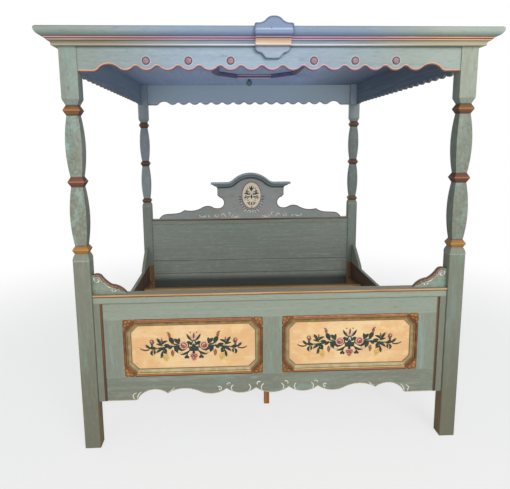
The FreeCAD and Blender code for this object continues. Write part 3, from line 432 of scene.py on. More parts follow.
def finish_upper_posts():
    coat, streak = green_coat("baluster_green", "Z", drifts=0.7)
    chops = coat.noise((85.0, 85.0, 60.0), 5.0, 0.75)
    scuff = coat.noise((24.0, 24.0, 15.0), 3.0)
    swelling = 1 - coat.ramp(coat.z, 1.64, 1.72) * 0.7
    coat.lay(swelling * 0.2, "#7a745f")
    coat.lay(coat.ramp(chops, 0.53, 0.64) * swelling * 0.6, "#5a6257")
    coat.lay(coat.fall(chops, 0.37, 0.47) * swelling * 0.35, "#b9c4b6")
    coat.lay(coat.ramp(scuff, 0.52, 0.64) * swelling * 0.45, "#8c8670")
    coat.lay(coat.fall(scuff, 0.36, 0.46) * swelling * 0.45, "#a3c4b8")
    edge = coat.ramp(coat.arris(0.005), 0.25, 0.5) * swelling
    coat.lay(edge * coat.ramp(scuff, 0.46, 0.56) * 0.6, "#d3d6ca")
    coat.lay(edge * coat.fall(scuff, 0.38, 0.46) * 0.5, "#4a4a42")
    crack = coat.noise((110.0, 110.0, 16.0), 2.0)
    coat.wash(crack, 0.7, 0.74, 0.7, "#3f4039")
    # Painted light and shade on the rear posts: bluer and lighter at the top, pale on faces to the foot
    # inside the canopy, darker on the right below the top, lighter on the left.
    back = coat.y > 0
    top = coat.ramp(coat.z, 1.6, 1.75)
    coat.lay(back * (top * 0.3 + 0.4), coat.mix(top, "#7b8891", "#9ca9b2"))
    bedward = back * (coat.facing_y < -0.5)
    coat.lay(bedward * coat.ramp(coat.z, 1.828, 1.838) * 0.55, "#d3e2ee")
    coat.lay(back * (coat.x > 0) * (1 - top) * 0.3, "#4f585c")
    coat.lay(back * (coat.x < 0) * 0.35, "#a5b1bf")
    # Painted shade: the right front post and the inward faces of the front posts darker.
    right = coat.ramp(coat.x, 0.5, 0.9) * (1 - back)
    coat.lay(right * swelling * 0.3, "#6d7467")
    inward = (coat.outward() < -0.6) * (1 - back)
    coat.lay(inward * 0.35, "#474e48")
    coat.line(1.686, 1.712, 0.25, "#6f7672")
    shade = 0.0
    gilt = coat.gilt("X")
    for (low, high), paint in zip(COLLARS, (gilt, coat.red("X"), gilt)):
        away = coat.from_ridge(low, high)
        # Painted light on each collar: a highlight along the ridge, painted shade on its bevels and roots,
        # on inward faces, and on the rear and right posts.
        paint = coat.over(
            paint,
            (coat.fall(away, 0.06, 0.3) * 0.3, "#e3b488"),
            ((coat.facing_z > 0.2) * 0.25, "#6b4526"),
            ((coat.facing_z < -0.2) * 0.45, "#4a2c1c"),
            (coat.ramp(away, 0.55, 1.0) * 0.6, "#3c2816"),
            ((coat.outward() < -0.35) * (1 - back) * 0.5, "#33281f"),
            (back * 0.55, "#4a3b38"),
            (right * 0.14, "#4a2f1c"),
            ((1 - back) * (coat.z < 1.1) * 0.35, "#e0a450"))
        coat.lay(coat.level(low + 0.0008, high - 0.0008), paint)
        shade = coat.level(low - COLLAR_LINE, low + 0.0006) | shade
        shade = coat.level(high - 0.0006, high + COLLAR_LINE) | shade
    coat.lay(shade * 0.7, "#3b3226")
    low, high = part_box("post_upper_foot_right")
    split_x = low.x * 0.41 + high.x * 0.59
    split = coat.band(coat.x, split_x - 0.0012, split_x + 0.0012) * coat.band(coat.z, 1.918, 1.95, 0.004)
    coat.lay(split * (1 - back) * 0.8, "#4a4d44")
    stand_balusters(coat.close(0.58, streak + chops * 0.5, 0.0009))


def finish_valances():
    coat, streak = green_coat("valance_foot_paint", "X", 0.2)
    slope = (abs(coat.facing_y) > 0.3) & (abs(coat.facing_y) < 0.95)
    ring = coat.fall(coat.from_rosette(), 0.0195, 0.025) * coat.band(abs(coat.x), 0.1, 0.64)
    coat.lay(ring * 0.55, "#d3dce0")
    # Painted shadow of the cornice along the valance's top.
    coat.lay(coat.band(coat.z, 1.9345, 1.941, 0.002) * 0.55, "#546066")
    drop = (coat.y + 1.051) / 0.008
    edge = coat.mix(coat.centred(), "#b06a5c", "#a87486")
    edge = coat.mix(coat.fall(drop, 0.4, 0.56), edge, coat.mix(coat.centred(), "#f6cfac", "#f0d2d4"))
    coat.lay(slope, edge)
    coat.lay((abs(coat.facing_y) < 0.3) & (coat.facing_z < -0.2), "#64464c")
    coat.dress(["valance_foot"], streak)

    coat, streak = green_coat("valance_head_paint", "X", 0.25)
    # Painted light: the faces towards the foot much paler, lifting the canopy's shade.
    coat.lay((coat.facing_y < 0.5) * 0.9, "#d2e4f0")
    coat.lay((abs(coat.facing_y) < 0.95) * 0.5, "#6f8090")
    coat.dress(["valance_head"], streak)

    coat, streak = green_coat("valance_side_paint", "Y", 0.25)
    outward = coat.outward()
    slope = (abs(outward) > 0.3) & (abs(outward) < 0.9)
    worn = coat.worn(streak)
    coat.lay(slope, coat.mix(worn, "#a4705c", "#cb9a86"))
    # Painted shade: the right valance's inner face darker than the left's.
    left_inner = coat.mix(worn, "#7f91a6", "#8fa0b3")
    right_inner = coat.mix(worn, "#647486", "#758595")
    coat.lay(outward < -0.5, coat.mix(coat.x > 0, left_inner, right_inner))
    under = (abs(outward) < 0.3) & (coat.facing_z < -0.2)
    coat.lay(under, coat.mix(coat.facing_y < -0.35, "#5d6772", "#82807f"))
    coat.dress(["valance_left", "valance_right"], streak)


def finish_cornice():
    bead_top = 1.9735
    cove_top = 1.9585
    fillet_top = 1.9442
    for name, grain in (("cornice_foot", "X"), ("cornice_left", "Y"), ("cornice_right", "Y")):
        coat, streak = green_coat(name + "_paint", grain, 0.1)
        middle = coat.centred()
        shadow = coat.mix(middle, "#74877f", "#6078a2")
        coat.wash(coat.z, 1.993, 1.975, 0.65, shadow)
        coat.lay(middle * 0.55, "#7d91b0")
        worn = coat.worn(streak)
        left_end = coat.mix(worn, "#c39d97", "#d8b8b4")
        bead = coat.over(
            left_end,
            (coat.ramp(coat.x, -0.3, 0.7), coat.mix(worn, "#e2ad8a", "#f4caaa")),
            (middle, coat.mix(worn, "#c5a3bd", "#dfc6d8")))
        coat.lay(coat.z < bead_top, bead)
        between = coat.level(1.9636, 1.9678) | coat.level(1.9728, 1.9742)
        coat.lay(between * 0.85, coat.mix(middle, "#702a1c", "#703c60"))
        # The cove's paint, with painted light: lighter towards the right.
        cove = coat.over(
            coat.mix(worn, "#857f64", "#9b957c"),
            (middle, coat.mix(worn, "#8094a6", "#9dacb8")),
            (coat.fall(coat.z, 1.945, 1.952) * 0.25, "#bdbaa6"),
            (coat.ramp(coat.x, 0.2, 0.9) * 0.55, "#cdc7a2"))
        coat.lay(coat.z < cove_top, cove)
        coat.line(1.9572, 1.9594, 0.7, "#57594f")
        coat.lay(coat.z < fillet_top, coat.mix(middle, "#b1ab92", "#e0e5ea"))
        coat.dress([name], streak, 0.6)


def finish_ceiling():
    coat = Finish("ceiling_blue")
    streak = coat.brushed("Y")
    patch = coat.noise((5.0, 3.0, 5.0), 4.0)
    coat.colour = coat.mix(coat.ramp(streak, 0.4, 0.7), "#a4bae6", "#b8ccf0")
    coat.wash(patch, 0.5, 0.75, 0.5, "#869bc6")
    # Painted shade: darker towards the sides, much darker on the right, and in inner corners.
    coat.wash(abs(coat.x), 0.35, 0.9, 0.4, "#7f92a6")
    coat.wash(coat.x, 0.35, 0.8, 0.75, "#5c6d86")
    coat.wash(coat.corner(0.03), 0.3, 0.9, 0.5, "#343b49")
    bare = coat.wood("Y", "#b79367", "#8e6a42")[0]
    coat.lay(coat.facing_z > 0.5, bare)
    coat.dress(["canopy_ceiling"], streak, 0.65)
    coat = Finish("ceiling_frame_violet")
    streak = coat.brushed("X")
    coat.colour = coat.mix(coat.ramp(streak, 0.4, 0.7), "#5f5f8a", "#75739c")
    line = coat.level(1.9885, 1.9935) | (coat.z < 1.9778)
    line = line * (abs(coat.x) < 0.122) * (coat.y > 0.2)
    coat.lay(line, "#f0d2de")
    coat.dress(["canopy_ceiling_frame"], streak, 0.6)
    coat, streak = green_coat("knob_blue", "Z", 0.9)
    coat.lay(0.55, "#43536e")
    coat.dress(["canopy_knob"], streak, 0.5)


def finish_rosettes():
    coat = Finish("rosette_pink")
    out = coat.from_rosette()
    blush = coat.noise((90.0, 90.0, 90.0), 3.0)
    coat.colour = coat.mix(coat.ramp(blush, 0.4, 0.65), "#9c7a82", "#b39298")
    coat.lay(coat.fall(out, 0.002, 0.006), "#a47078")
    coat.lay(coat.ramp(out, 0.0125, 0.0148), "#5a4450")
    coat.dress(["valance_rosettes"], blush, 0.5)


def finish_cartouche():
    coat, streak = green_coat("cartouche_blue", "X", 1.0)
    coat.lay(0.75, "#8296b4")
    glint = coat.band(coat.z, 1.991, 2.0005, 0.002) * (coat.ramp(streak, 0.35, 0.6) * 0.5 + 0.4)
    coat.lay(glint, "#c8d8ea")
    # Painted shade under the ledge.
    coat.wash(coat.z, 1.988, 1.976, 0.55, "#6a7fae")
    across = (coat.x + 0.012) / 1.6
    rise = coat.z - 2.0005
    knot = coat.fall(across * across + rise * rise, 0.000003, 0.00001)
    coat.lay(knot * 0.8, "#4f5f72")
    coat.wash(coat.arris(0.011), 0.2, 0.42, 0.9, "#4b5b88")
    coat.lay((abs(coat.facing_y) < 0.5) * 0.6, "#5c6d96")
    coat.dress(["cartouche_crest"], streak, 0.6)
    coat, streak = green_coat("cartouche_drop_blue", "X", 1.0)
    coat.wash(coat.z, 1.905, 1.94, 0.6, "#97999f")
    coat.wash(coat.arris(0.011), 0.2, 0.42, 0.9, "#4d6076")
    coat.lay((abs(coat.facing_y) < 0.5) * 0.8, "#4d6076")
    coat.dress(["cartouche_drop"], streak, 0.6)
    coat = Finish("cartouche_bands")
    streak = coat.brushed("X")
    worn = coat.worn(streak)
    coat.colour = coat.mix(worn, "#dcb396", "#edcdb0")
    coat.lay(coat.fall(coat.z, 1.9405, 1.948), "#fbe6cc")
    coat.lay(coat.z > 1.9655, coat.mix(worn, "#d6b6c8", "#ead2de"))
    between = coat.level(1.9625, 1.9668) | coat.level(1.9722, 1.9745)
    coat.lay(between * 0.9, "#6b3a52")
    coat.dress(["cartouche_moulding"], streak, 0.55)


def finish_caps():
    coat, streak = green_coat("foot_cap_paint", "X", 0.0, 0.55)
    nose = coat.level(0.7825, 0.798) & (coat.y < -1.0465)
    shine = coat.mix(coat.worn(streak), "#c79a66", "#e6c79c")
    coat.lay(nose, coat.mix(coat.ramp(coat.z, 0.7885, 0.7915), coat.gilt("X"), shine))
    # Painted shade along the bead's underside, and a painted shadow under the cap.
    coat.lay(coat.level(0.7812, 0.7838) * (coat.facing_y < -0.2) * 0.7, "#4a351e")
    coat.line(0.7515, 0.7545, 0.5, "#4f5a50")
    coat.lay((coat.facing_z > 0.7) * 0.65, "#9c8a6a")
    coat.lay((abs(coat.x) > POST_SHADOW_X) * 0.6, "#33352c")
    coat.dress(["foot_cap"], streak, 0.58)
    coat, streak = green_coat("foot_rail_green", "X", 0.0, 0.5)
    # Painted shadow of the cap along the rail's top.
    coat.line(0.7478, 0.753, 0.55, "#4c574e")
    coat.dress(["foot_top_rail"], streak)
    coat, streak = green_coat("head_cap_paint", "X")
    nose = coat.level(0.8355, 0.8495) & (coat.y < 1.0825)
    rouge = coat.mix(coat.ramp(abs(coat.x), 0.12, 0.45), "#55241f", "#70544a")
    rubbed = coat.ramp(streak, 0.5, 0.6) * coat.ramp(abs(coat.x), 0.3, 0.6) * 0.7
    coat.lay(nose, coat.mix(rubbed, rouge, "#8e948a"))
    coat.line(0.8478, 0.8505, 0.65, "#c4c9c0")
    coat.dress(["head_cap"], streak, 0.6)


def finish_edges():
    coat, streak = green_coat("foot_edge_paint", "Z", 0.0, 0.2)
    coat.lay(coat.ramp(coat.x, 0.5, 0.8) * 0.15 + 0.35, "#6c6854")
    coat.lay((abs(coat.x) > POST_SHADOW_X) * 0.7, "#3b3f36")
    worn = coat.worn(streak)
    # The red-brown strips, with a painted highlight and painted shade along their sides,
    # and painted shade towards the floor.
    strip_paint_and_shade = coat.over(
        coat.mix(worn, "#6c4028", "#98633d"),
        (coat.x > 0, coat.mix(worn, "#5d4228", "#80603c")),
        (coat.band(coat.x, 0.82, 0.8289) * 0.8, "#b48d62"),
        (coat.band(coat.x, 0.8291, 0.8312) * 0.8, "#3a2a1c"),
        (coat.fall(coat.z, 0.3, 0.6) * 0.45, "#3f2c1f"),
        (coat.band(coat.x, -0.8315, -0.82) * 0.6, "#3a2a1e"),
        (coat.band(coat.x, 0.8335, 0.845) * 0.6, "#3a2a1e"))
    coat.lay(abs(coat.x) < 0.8378, strip_paint_and_shade)
    coat.dress(["foot_edge_left", "foot_edge_right"], streak, 0.58)


def finish_mouldings():
    for side, middle, dull, bright in (("left", -PANEL_X, "#8e4a2c", "#ac663e"),
                                       ("right", PANEL_X, "#9c5630", "#bf7c48")):
        coat = Finish("foot_moulding_paint_" + side)
        along = MOULDING_HALF_X - abs(coat.x - middle)
        up = MOULDING_HALF_Z - abs(coat.z - PANEL_Z)
        splay = (along + up - 0.056) * 0.7071
        inside = along & up & splay
        streak = coat.noise((34.0, 34.0, 34.0), 4.0)
        worn = coat.worn(streak)
        # The upper and lower runs get lit and shaded copies of the moulding's colours, as painted light
        # and shade, and its bead a painted glint.
        level = (up < 0.05) * ((splay - up) > -0.001) * ((along - up) > -0.001)
        above = coat.ramp(coat.z, 0.56, 0.64) * level
        below = coat.fall(coat.z, 0.40, 0.45) * level
        bead = coat.over(
            coat.mix(worn, "#613010", "#88501a"),
            (above, coat.mix(worn, dull, bright)),
            (below, coat.mix(coat.ramp(inside, 0.0065, 0.0095), "#652b17", "#b5763c")),
            (coat.band(inside, 0.0035, 0.0080, 0.002) * (above * 0.15 + 0.1), "#d99a70"))
        fillet = coat.over(
            coat.mix(worn, "#86622f", "#a07a44"),
            (above, coat.mix(coat.ramp(inside, 0.0145, 0.0165), "#c98f55", "#74592f")),
            (below, coat.mix(worn, "#cdb374", "#e0c992")))
        olive = coat.over(
            coat.mix(worn, "#8f7c4c", "#a8956a"),
            (above, coat.mix(worn, "#7c5c2a", "#9d7a3c")),
            (below, coat.mix(worn, "#b39f70", "#c8b58a")),
            (coat.ramp(inside, 0.026, 0.033) * 0.35, "#bcae86"))
        coat.colour = coat.over(bead, (inside > 0.0128, fillet), (inside > 0.020, olive))
        line = coat.band(inside, 0.0118, 0.0136) | coat.band(inside, 0.0192, 0.0212)
        line = line | coat.band(inside, -0.001, 0.0022)
        coat.lay(line * 0.7, "#4f2713")
        coat.wash(inside, 0.0342, 0.0358, 0.85, "#63482a")
        # Painted shade in inner corners.
        coat.wash(coat.corner(0.012), 0.4, 0.95, 0.5, "#3c2716")
        coat.dress(["foot_moulding_" + side], streak, 0.5)
    coat = Finish("corner_gilt")
    coat.colour = coat.gilt("X")
    rim = MOULDING_HALF_X - abs(abs(coat.x) - PANEL_X)
    rim = rim & (MOULDING_HALF_Z - abs(coat.z - PANEL_Z))
    coat.wash(rim, 0.0045, 0.001, 0.8, "#3a2412")
    # Painted shade deep in the carving, and a painted highlight on its edges.
    coat.lay(coat.ramp(coat.corner(0.01), 0.2, 0.7), "#3a1a0a")
    coat.wash(coat.arris(0.005), 0.26, 0.5, 0.85, "#efc98a")
    coat.dress(["foot_corner_blocks"], roughness=0.45)


def finish_panels():
    coat = Finish("panel_cream")
    streak = coat.brushed("X")
    cloud = coat.noise((6.0, 6.0, 9.0), 4.0)
    coat.colour = coat.mix(coat.ramp(streak, 0.38, 0.7), "#f1c184", "#f9d196")
    coat.wash(cloud, 0.52, 0.75, 0.4, "#ffdfae")
    coat.wash(streak, 0.4, 0.24, 0.35, "#dca974")
    away = abs(abs(coat.x) - PANEL_X)
    coat.wash(away, 0.14, 0.31, 0.45, "#ecb782")
    coat.wash(away, 0.2, 0.05, 0.35, "#ffe2b6")
    puff = coat.noise((17.0, 17.0, 24.0), 3.0, 0.6)
    coat.wash(puff, 0.48, 0.66, 0.5, "#ffe0a8")
    coat.wash(puff, 0.48, 0.34, 0.45, "#f2b67e")
    nick = coat.noise((16.0, 16.0, 170.0), 2.0)
    coat.wash(nick, 0.73, 0.77, 0.6, "#b08050")
    # Painted shade in the corners of the panel.
    coat.wash(coat.corner(0.03), 0.3, 0.9, 0.4, "#a87844")
    bare = coat.wood("X", "#a98458", "#7d5a36")[0]
    coat.lay(coat.facing_y > 0.5, bare)
    coat.dress(["foot_panel_left", "foot_panel_right"], streak, 0.5)


def finish_headboard():
    coat, streak = green_coat("head_plank_green", "X", 0.12, 0.0, 0.15)
    # Painted shadow: the planks' faces darker towards the bottom, deep inside the bed.
    coat.lay(coat.fall(coat.z, 0.285, 0.35) * (coat.facing_y < 0.5) * 0.9, "#1f231f")
    joint = coat.level(0.3557, 0.3586) | coat.level(0.4747, 0.4776)
    coat.lay(joint * 0.85, "#1f221e")
    coat.lay(coat.level(0.4708, 0.4738) * coat.ramp(streak, 0.45, 0.6) * 0.5, "#b4bcb2")
    coat.dress(["head_plank_low", "head_plank_mid", "head_plank_top"], streak)
    coat, streak = green_coat("crest_board_paint", "X", 0.2)
    coat.lay(0.5 - coat.ramp(abs(coat.x), 0.2, 0.4) * 0.3, "#c0beba")
    cloud = coat.noise((9.0, 9.0, 14.0), 4.0, 0.6)
    coat.wash(cloud, 0.5, 0.64, 0.45, "#8fa5a6")
    coat.wash(cloud, 0.46, 0.34, 0.4, "#9a8b82")
    coat.lay((abs(coat.facing_y) < 0.5) * 0.85, "#7d5a52")
    coat.dress(["head_crest"], streak)
    coat, streak = green_coat("hood_blue", "X", 0.45)
    out = (CREST_FACE - coat.y) | (abs(coat.x) - 0.290)
    coat.lay(0.2, "#57676c")
    front = coat.facing_z < 0.3
    # Painted highlights and painted shade on the hood's profile steps.
    light = coat.ramp(out, 0.0560, 0.0572) | (coat.band(out, 0.0188, 0.0245) * 0.8)
    coat.lay(light * front * 0.6, "#c6d2d4")
    dark = (coat.band(out, 0.0385, 0.0560) * 0.5) | coat.fall(out, 0.0180, 0.0190)
    coat.lay(dark * front * 0.7, "#2a353b")
    coat.dress(["head_hood"], streak)


def finish_base():
    coat, streak = green_coat("rail_paint", "Y")
    bare = coat.wood("Y", "#5f4230", "#33211a")[0]
    inner = coat.outward() < -0.001
    coat.lay(inner & (coat.z < 0.4345), bare)
    coat.dress(["rail_left", "rail_right"], streak)
    finish_plain("wing_green", "Z", ["rail_wing_left", "rail_wing_right"])
    coat = Finish("slat_pine")
    coat.colour, lines = coat.wood("X", "#d8ab6a", "#b28448")
    # Painted shadow over the rear half of each slat's top.
    across = coat.maths("WRAP", coat.y + 0.648, 0.3425, -0.3425)
    coat.lay(coat.ramp(across, -0.01, 0.01) * (coat.facing_z > 0.5) * 0.75, "#3a3026")
    coat.dress(["slat_1", "slat_2", "slat_3"], lines, 0.6)
    coat = Finish("leg_pine")
    coat.colour, lines = coat.wood("Z", "#bd7d3e", "#8d592a")
    coat.dress(["slat_leg_1", "slat_leg_2", "slat_leg_3"], lines, 0.6)
    coat = Finish("hidden_pine")
    coat.colour, lines = coat.wood("Y", "#8f6e48", "#634729")
    coat.dress(["ledger_left", "ledger_right", "joint_dowels", "cornice_packing"], lines, 0.65)
    coat = Finish("fitting_steel")
    stain = coat.noise((60.0, 60.0, 60.0), 4.0)
    coat.colour = coat.mix(coat.ramp(stain, 0.45, 0.7), "#8c8d8c", "#6b625a")
    coat.shader.inputs["Metallic"].default_value = 0.9
    coat.dress(["rail_hook_plates", "post_slot_plates", "base_screws"], stain, 0.42)


def finish_brackets():
    coat, streak = green_coat("bracket_green", "X", 0.0, 0.15)
    coat.lay(coat.ramp(coat.noise((30.0, 30.0, 30.0), 3.0), 0.42, 0.66) * 0.65, "#8ab1a4")
    sawn = coat.mix(coat.worn(streak), "#7c5c50", "#a08175")
    coat.lay(abs(coat.facing_y) < 0.5, sawn)
    coat.dress(["foot_bracket_left", "foot_bracket_right"], streak, 0.6)


finish_lower_posts()
finish_upper_posts()
finish_valances()
finish_cornice()
finish_ceiling()
finish_rosettes()
finish_cartouche()
finish_caps()
finish_edges()
finish_mouldings()
finish_panels()
finish_headboard()
finish_base()
finish_brackets()
finish_plain("foot_apron_green", "X", ["foot_apron"])
finish_plain("foot_upright_green", "Z", ["foot_stile_left", "foot_stile_right", "foot_muntin"], 0.2)


class Pot:
    """A pot of brush paint: its finish, and the slot of the record that it belongs to, which is not used."""

    def __init__(self, name, pale, dark, slot):
        coat = Finish(name)
        body = coat.noise((140.0, 140.0, 140.0), 4.0, 0.6)
        coat.colour = coat.mix(coat.ramp(body, 0.38, 0.66), dark, pale)
        self.material = coat.close(0.5, body, 0.0003)
        self.slot = slot


def settle(piece, name, pot):
    """Name a painted piece, give it its paint and hang it on the bedstead."""
    piece.name = name
    piece.data.materials.clear()
    piece.data.materials.append(pot.material)
    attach(piece, "bedstead")
    return piece


class Brush:
    """Strokes of one thick paint on a face that looks to the bed's foot, in millimetres from a centre."""

    # Where a stroke's five points lie along it, and the share of its width that each kind has there
    POINTS = (0.0, 0.25, 0.5, 0.75, 1.0)
    SHARES = {"leaf": (0.25, 0.95, 1.25, 0.9, 0.02), "stem": (0.7, 1.0, 1.0, 0.9, 0.5),
              "comma": (0.9, 1.25, 0.8, 0.45, 0.1), "bar": (0.8, 1.0, 1.0, 1.0, 0.8)}

    def __init__(self, name, face, centre, load=1.0):
        self.name = name
        self.face = face
        self.centre = centre
        self.load = load
        self.strokes = []

    def stroke(self, points, widths):
        """Five points and the paint's width at each, more where the brush is full."""
        self.strokes.append((points, [width * self.load for width in widths]))

    def arc(self, x, z, end_x, end_z, bow, width, shares):
        """A stroke to an end, with its middle off the chord by bow."""
        run_x = end_x - x
        run_z = end_z - z
        length = math.hypot(run_x, run_z)
        points = []
        for share in self.POINTS:
            off = bow * 4 * share * (1 - share) * 1.25 / length
            points.append((x + run_x * share - run_z * off, z + run_z * share + run_x * off))
        self.stroke(points, [width * s for s in shares])

    def dot(self, x, z, radius):
        points = [(x + radius * step, z) for step in (-1, -0.9, 0, 0.9, 1)]
        self.stroke(points, [radius * w for w in (0.2, 2.0, 2.3, 2.0, 0.2)])

    def curl(self, x, z, radius, start, turn, width, shares=(1.1, 1.3, 0.9, 0.6, 0.15)):
        """Part of a turn round a centre, from an angle in degrees, as in a painted scroll."""
        points = []
        for share in self.POINTS:
            angle = math.radians(start + turn * share)
            grown = radius * (1.0 + (0.35 if 0.0 < share < 1.0 else 0.0) * abs(turn) / 270)
            points.append((x + grown * math.cos(angle), z + grown * math.sin(angle)))
        self.stroke(points, [width * s for s in shares])

    def singles(self, kind, *rows):
        for row in rows:
            if kind in self.SHARES:
                self.arc(*row, self.SHARES[kind])
            else:
                getattr(self, kind)(*row)

    def pairs(self, kind, *rows):
        """Each stroke, and the same on the other side of the centre line."""
        for x, z, *rest in rows:
            self.singles(kind, (x, z, *rest))
            if kind in self.SHARES:
                end_x, end_z, bow, width = rest
                rest = (-end_x, end_z, -bow, width)
            if kind == "curl":
                radius, start, turn, *rest = rest
                rest = (radius, 180 - start, -turn, *rest)
            self.singles(kind, (-x, z, *rest))

    def dry(self, pot):
        """Draw the strokes as one thin raised piece on its face."""
        flat = 0.03
        bpy.ops.object.select_all(action="DESELECT")
        bpy.ops.curve.primitive_nurbs_path_add(enter_editmode=True, location=(0, 0, 0))
        shape = bpy.context.object.data
        for number, (points, widths) in enumerate(self.strokes):
            if number:
                bpy.ops.curve.primitive_nurbs_path_add(location=(0, 0, 0))
            line = shape.splines[-1]
            line.resolution_u = 5
            for knot, (across, up), width in zip(line.points, points, widths):
                knot.co = (across / 1000 + self.centre[0], 0.0, up / 1000 + self.centre[1], 1.0)
                knot.radius = max(width, 0.15) / 2
        shape.bevel_depth = 0.001
        shape.bevel_resolution = 2
        shape.use_fill_caps = True
        bpy.ops.object.mode_set(mode="OBJECT")
        bpy.ops.object.convert(target="MESH")
        edit_all()
        bpy.ops.transform.resize(value=(1, flat, 1), center_override=(0, 0, 0))
        bpy.ops.transform.translate(value=(0, self.face, 0))
        leave_edit()
        bpy.ops.object.shade_smooth()
        return settle(bpy.context.object, self.name, pot)


leaf_pot = Pot("leaf_green_black", "#31453a", "#1a2822", "green_paint")
sage_pot = Pot("leaf_sage", "#b9bd8e", "#8e9a74", "green_paint")
bloom_pot = Pot("bloom_red", "#c4604c", "#94382b", "red_paint")
rust_pot = Pot("bud_rust", "#bb7b5b", "#8d4d36", "red_paint")
blush_pot = Pot("bloom_blush", "#efc6b2", "#d99a88", "rose_paint")
plum_pot = Pot("bud_plum", "#7a5c70", "#48364c", "blue_paint")
straw_pot = Pot("tulip_straw", "#ecca78", "#d9ab52", "gilt_paint")
white_pot = Pot("scroll_white", "#f7f3e6", "#dcd6c2", "cream_paint")
umber_pot = Pot("line_umber", "#6f4a3a", "#4a2c22", "red_paint")
cream_pot = Pot("line_cream", "#dfd3b0", "#b09c74", "cream_paint")
rosewood_pot = Pot("line_rosewood", "#ad8a78", "#8c6856", "red_paint")
wine_pot = Pot("line_wine", "#6a453e", "#432b27", "red_paint")
ivory_pot = Pot("medallion_ivory", "#fffaea", "#ffe8c2", "cream_paint")


def paint_swags():
    """A spray of folk flowers on the left foot panel, and its copy on the right one."""
    centre = (-PANEL_X, 0.5215)
    pale = Brush("swag_left_sage", PANEL_FACE - 0.0001, centre)
    pale.pairs("stem", (224, -8, 244, 10, -3, 4), (168, 8, 190, 34, 4, 4), (150, 0, 190, -28, 4, 4),
        (156, -36, 168, -64, 3, 4), (96, 4, 114, 12, 2, 6), (92, -8, 96, -40, 3, 5),
        (56, -34, 82, -36, -3, 5), (14, 30, 36, 62, -5, 4), (198, -30, 196, -50, 3, 4))
    green = Brush("swag_left_leaves", PANEL_FACE - 0.0003, centre, 1.25)
    green.pairs("stem", (219, -15, 265, -9, -7, 6), (72, 4, 206, -9, -5, 6), (146, -14, 155, -32, 2, 5),
        (105, 14, 69, 14, 6, 6), (28, -36, 35, -54, 2, 4))
    green.pairs("leaf", (214, -12, 237, 12, -2, 11), (186, -14, 222, -8, 3, 15), (206, -8, 210, 14, 2, 8),
        (201, -20, 203, -49, 9, 11), (197, -18, 197, -42, -3, 9), (163, 8, 184, 43, 3, 12),
        (162, 6, 127, 27, -6, 11), (153, 3, 187, 13, 1, 9), (140, -4, 188, -36, 3, 12),
        (147, -10, 133, -31, 1, 12), (157, -29, 132, -40, -2, 10), (155, -28, 160, -65, 2, 11),
        (102, 12, 122, 48, 2, 20), (74, 13, 98, 37, 2, 16), (74, 12, 70, 42, -2, 13),
        (116, -3, 150, 5, 2, 16), (106, 3, 127, -16, -1, 13), (96, 2, 82, -37, -2, 18),
        (83, 2, 60, -30, -3, 17), (64, -27, 28, -9, -4, 16), (31, 22, 28, -14, 1, 13),
        (20, -24, 70, -45, -7, 10), (8, 26, 33, 62, -4, 10), (14, 2, 30, 24, 3, 12))
    green.pairs("dot", (36, -54, 6), (30, -61, 6), (42, -61, 6), (16, 69, 3), (129, 71, 2.5))
    green.singles("bar", (-24, -16, 24, -16, 0, 22))
    green.singles("leaf", (0, -8, 0, 34, 0, 22), (-2, -26, 0, -48, 0, 12))
    rim = Brush("swag_left_blush", PANEL_FACE - 0.0006, centre)
    for turn in range(0, 360, 45):
        rim.pairs("curl", (50, 2, 16, turn, 48, 9, (0.9, 1.2, 1.2, 1.2, 0.9)))
    rim.pairs("dot", (207, 30, 6), (9, -52, 12))
    rim.singles("leaf", (0, -44, 0, -84, 0, 28), (0, 30, 5, 72, 2, 13))
    rim.pairs("leaf", (4, 28, 16, 56, -3, 7))
    red = Brush("swag_left_red", PANEL_FACE - 0.0011, centre)
    red.pairs("dot", (50, 2, 15), (8, -53, 8.5))
    red.singles("leaf", (0, -48, 0, -78, 0, 20))
    rust = Brush("swag_left_rust", PANEL_FACE - 0.0010, centre)
    rust.pairs("leaf", (107, -20, 104, -57, 1, 16), (117, 44, 124, 74, 0, 15), (157, 22, 158, 44, 0, 8))
    rust.pairs("dot", (207, 26, 11))
    plum = Brush("swag_left_plum", PANEL_FACE - 0.0012, centre)
    plum.pairs("curl", (207, 25, 10, 190, 150, 7), (121, 56, 6, 190, 150, 4))
    plum.pairs("dot", (206, 12, 7), (157, 26, 5))
    plum.singles("leaf", (-3, 36, 0, 68, -3, 8))
    straw = Brush("swag_left_straw", PANEL_FACE - 0.0008, centre)
    straw.pairs("leaf", (149, -42, 134, -80, 4, 13), (137, -43, 134, -79, -3, 12))
    straw.pairs("dot", (142, -55, 8))
    white = Brush("swag_left_white", PANEL_FACE - 0.0015, centre)
    white.pairs("curl", (50, 2, 8, 40, 200, 4))
    white.pairs("dot", (8, -53, 2), (4, -64, 1.8))
    white.singles("dot", (0, -72, 1.6))
    white.pairs("leaf", (6, 6, 3, 26, 2, 5), (205, 24, 210, 34, -2, 4))
    layers = ((pale, sage_pot), (green, leaf_pot), (rim, blush_pot), (red, bloom_pot),
              (rust, rust_pot), (plum, plum_pot), (straw, straw_pot), (white, white_pot))
    for brush, pot in layers:
        copy = moved_copy(brush.dry(pot), (2 * PANEL_X, 0, 0))
        settle(copy, brush.name.replace("left", "right"), pot)


def sawn_copy(node):
    """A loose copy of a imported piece, its corners merged, to draw a painted line from."""
    work = bpy.data.objects.new(node + "_copy", nodes[node].data.copy())
    bpy.context.scene.collection.objects.link(work)
    pick(work)
    edit_all()
    bpy.ops.mesh.remove_doubles(threshold=0.00002)
    bpy.ops.mesh.select_all(action="DESELECT")
    bpy.ops.object.mode_set(mode="OBJECT")
    return work


def faces_foot(part, face):
    """Whether a polygon lies on the face of a board that looks to the foot of the bed."""
    return part.normal.y < -0.99 and abs(part.center.y - face) < 0.0005


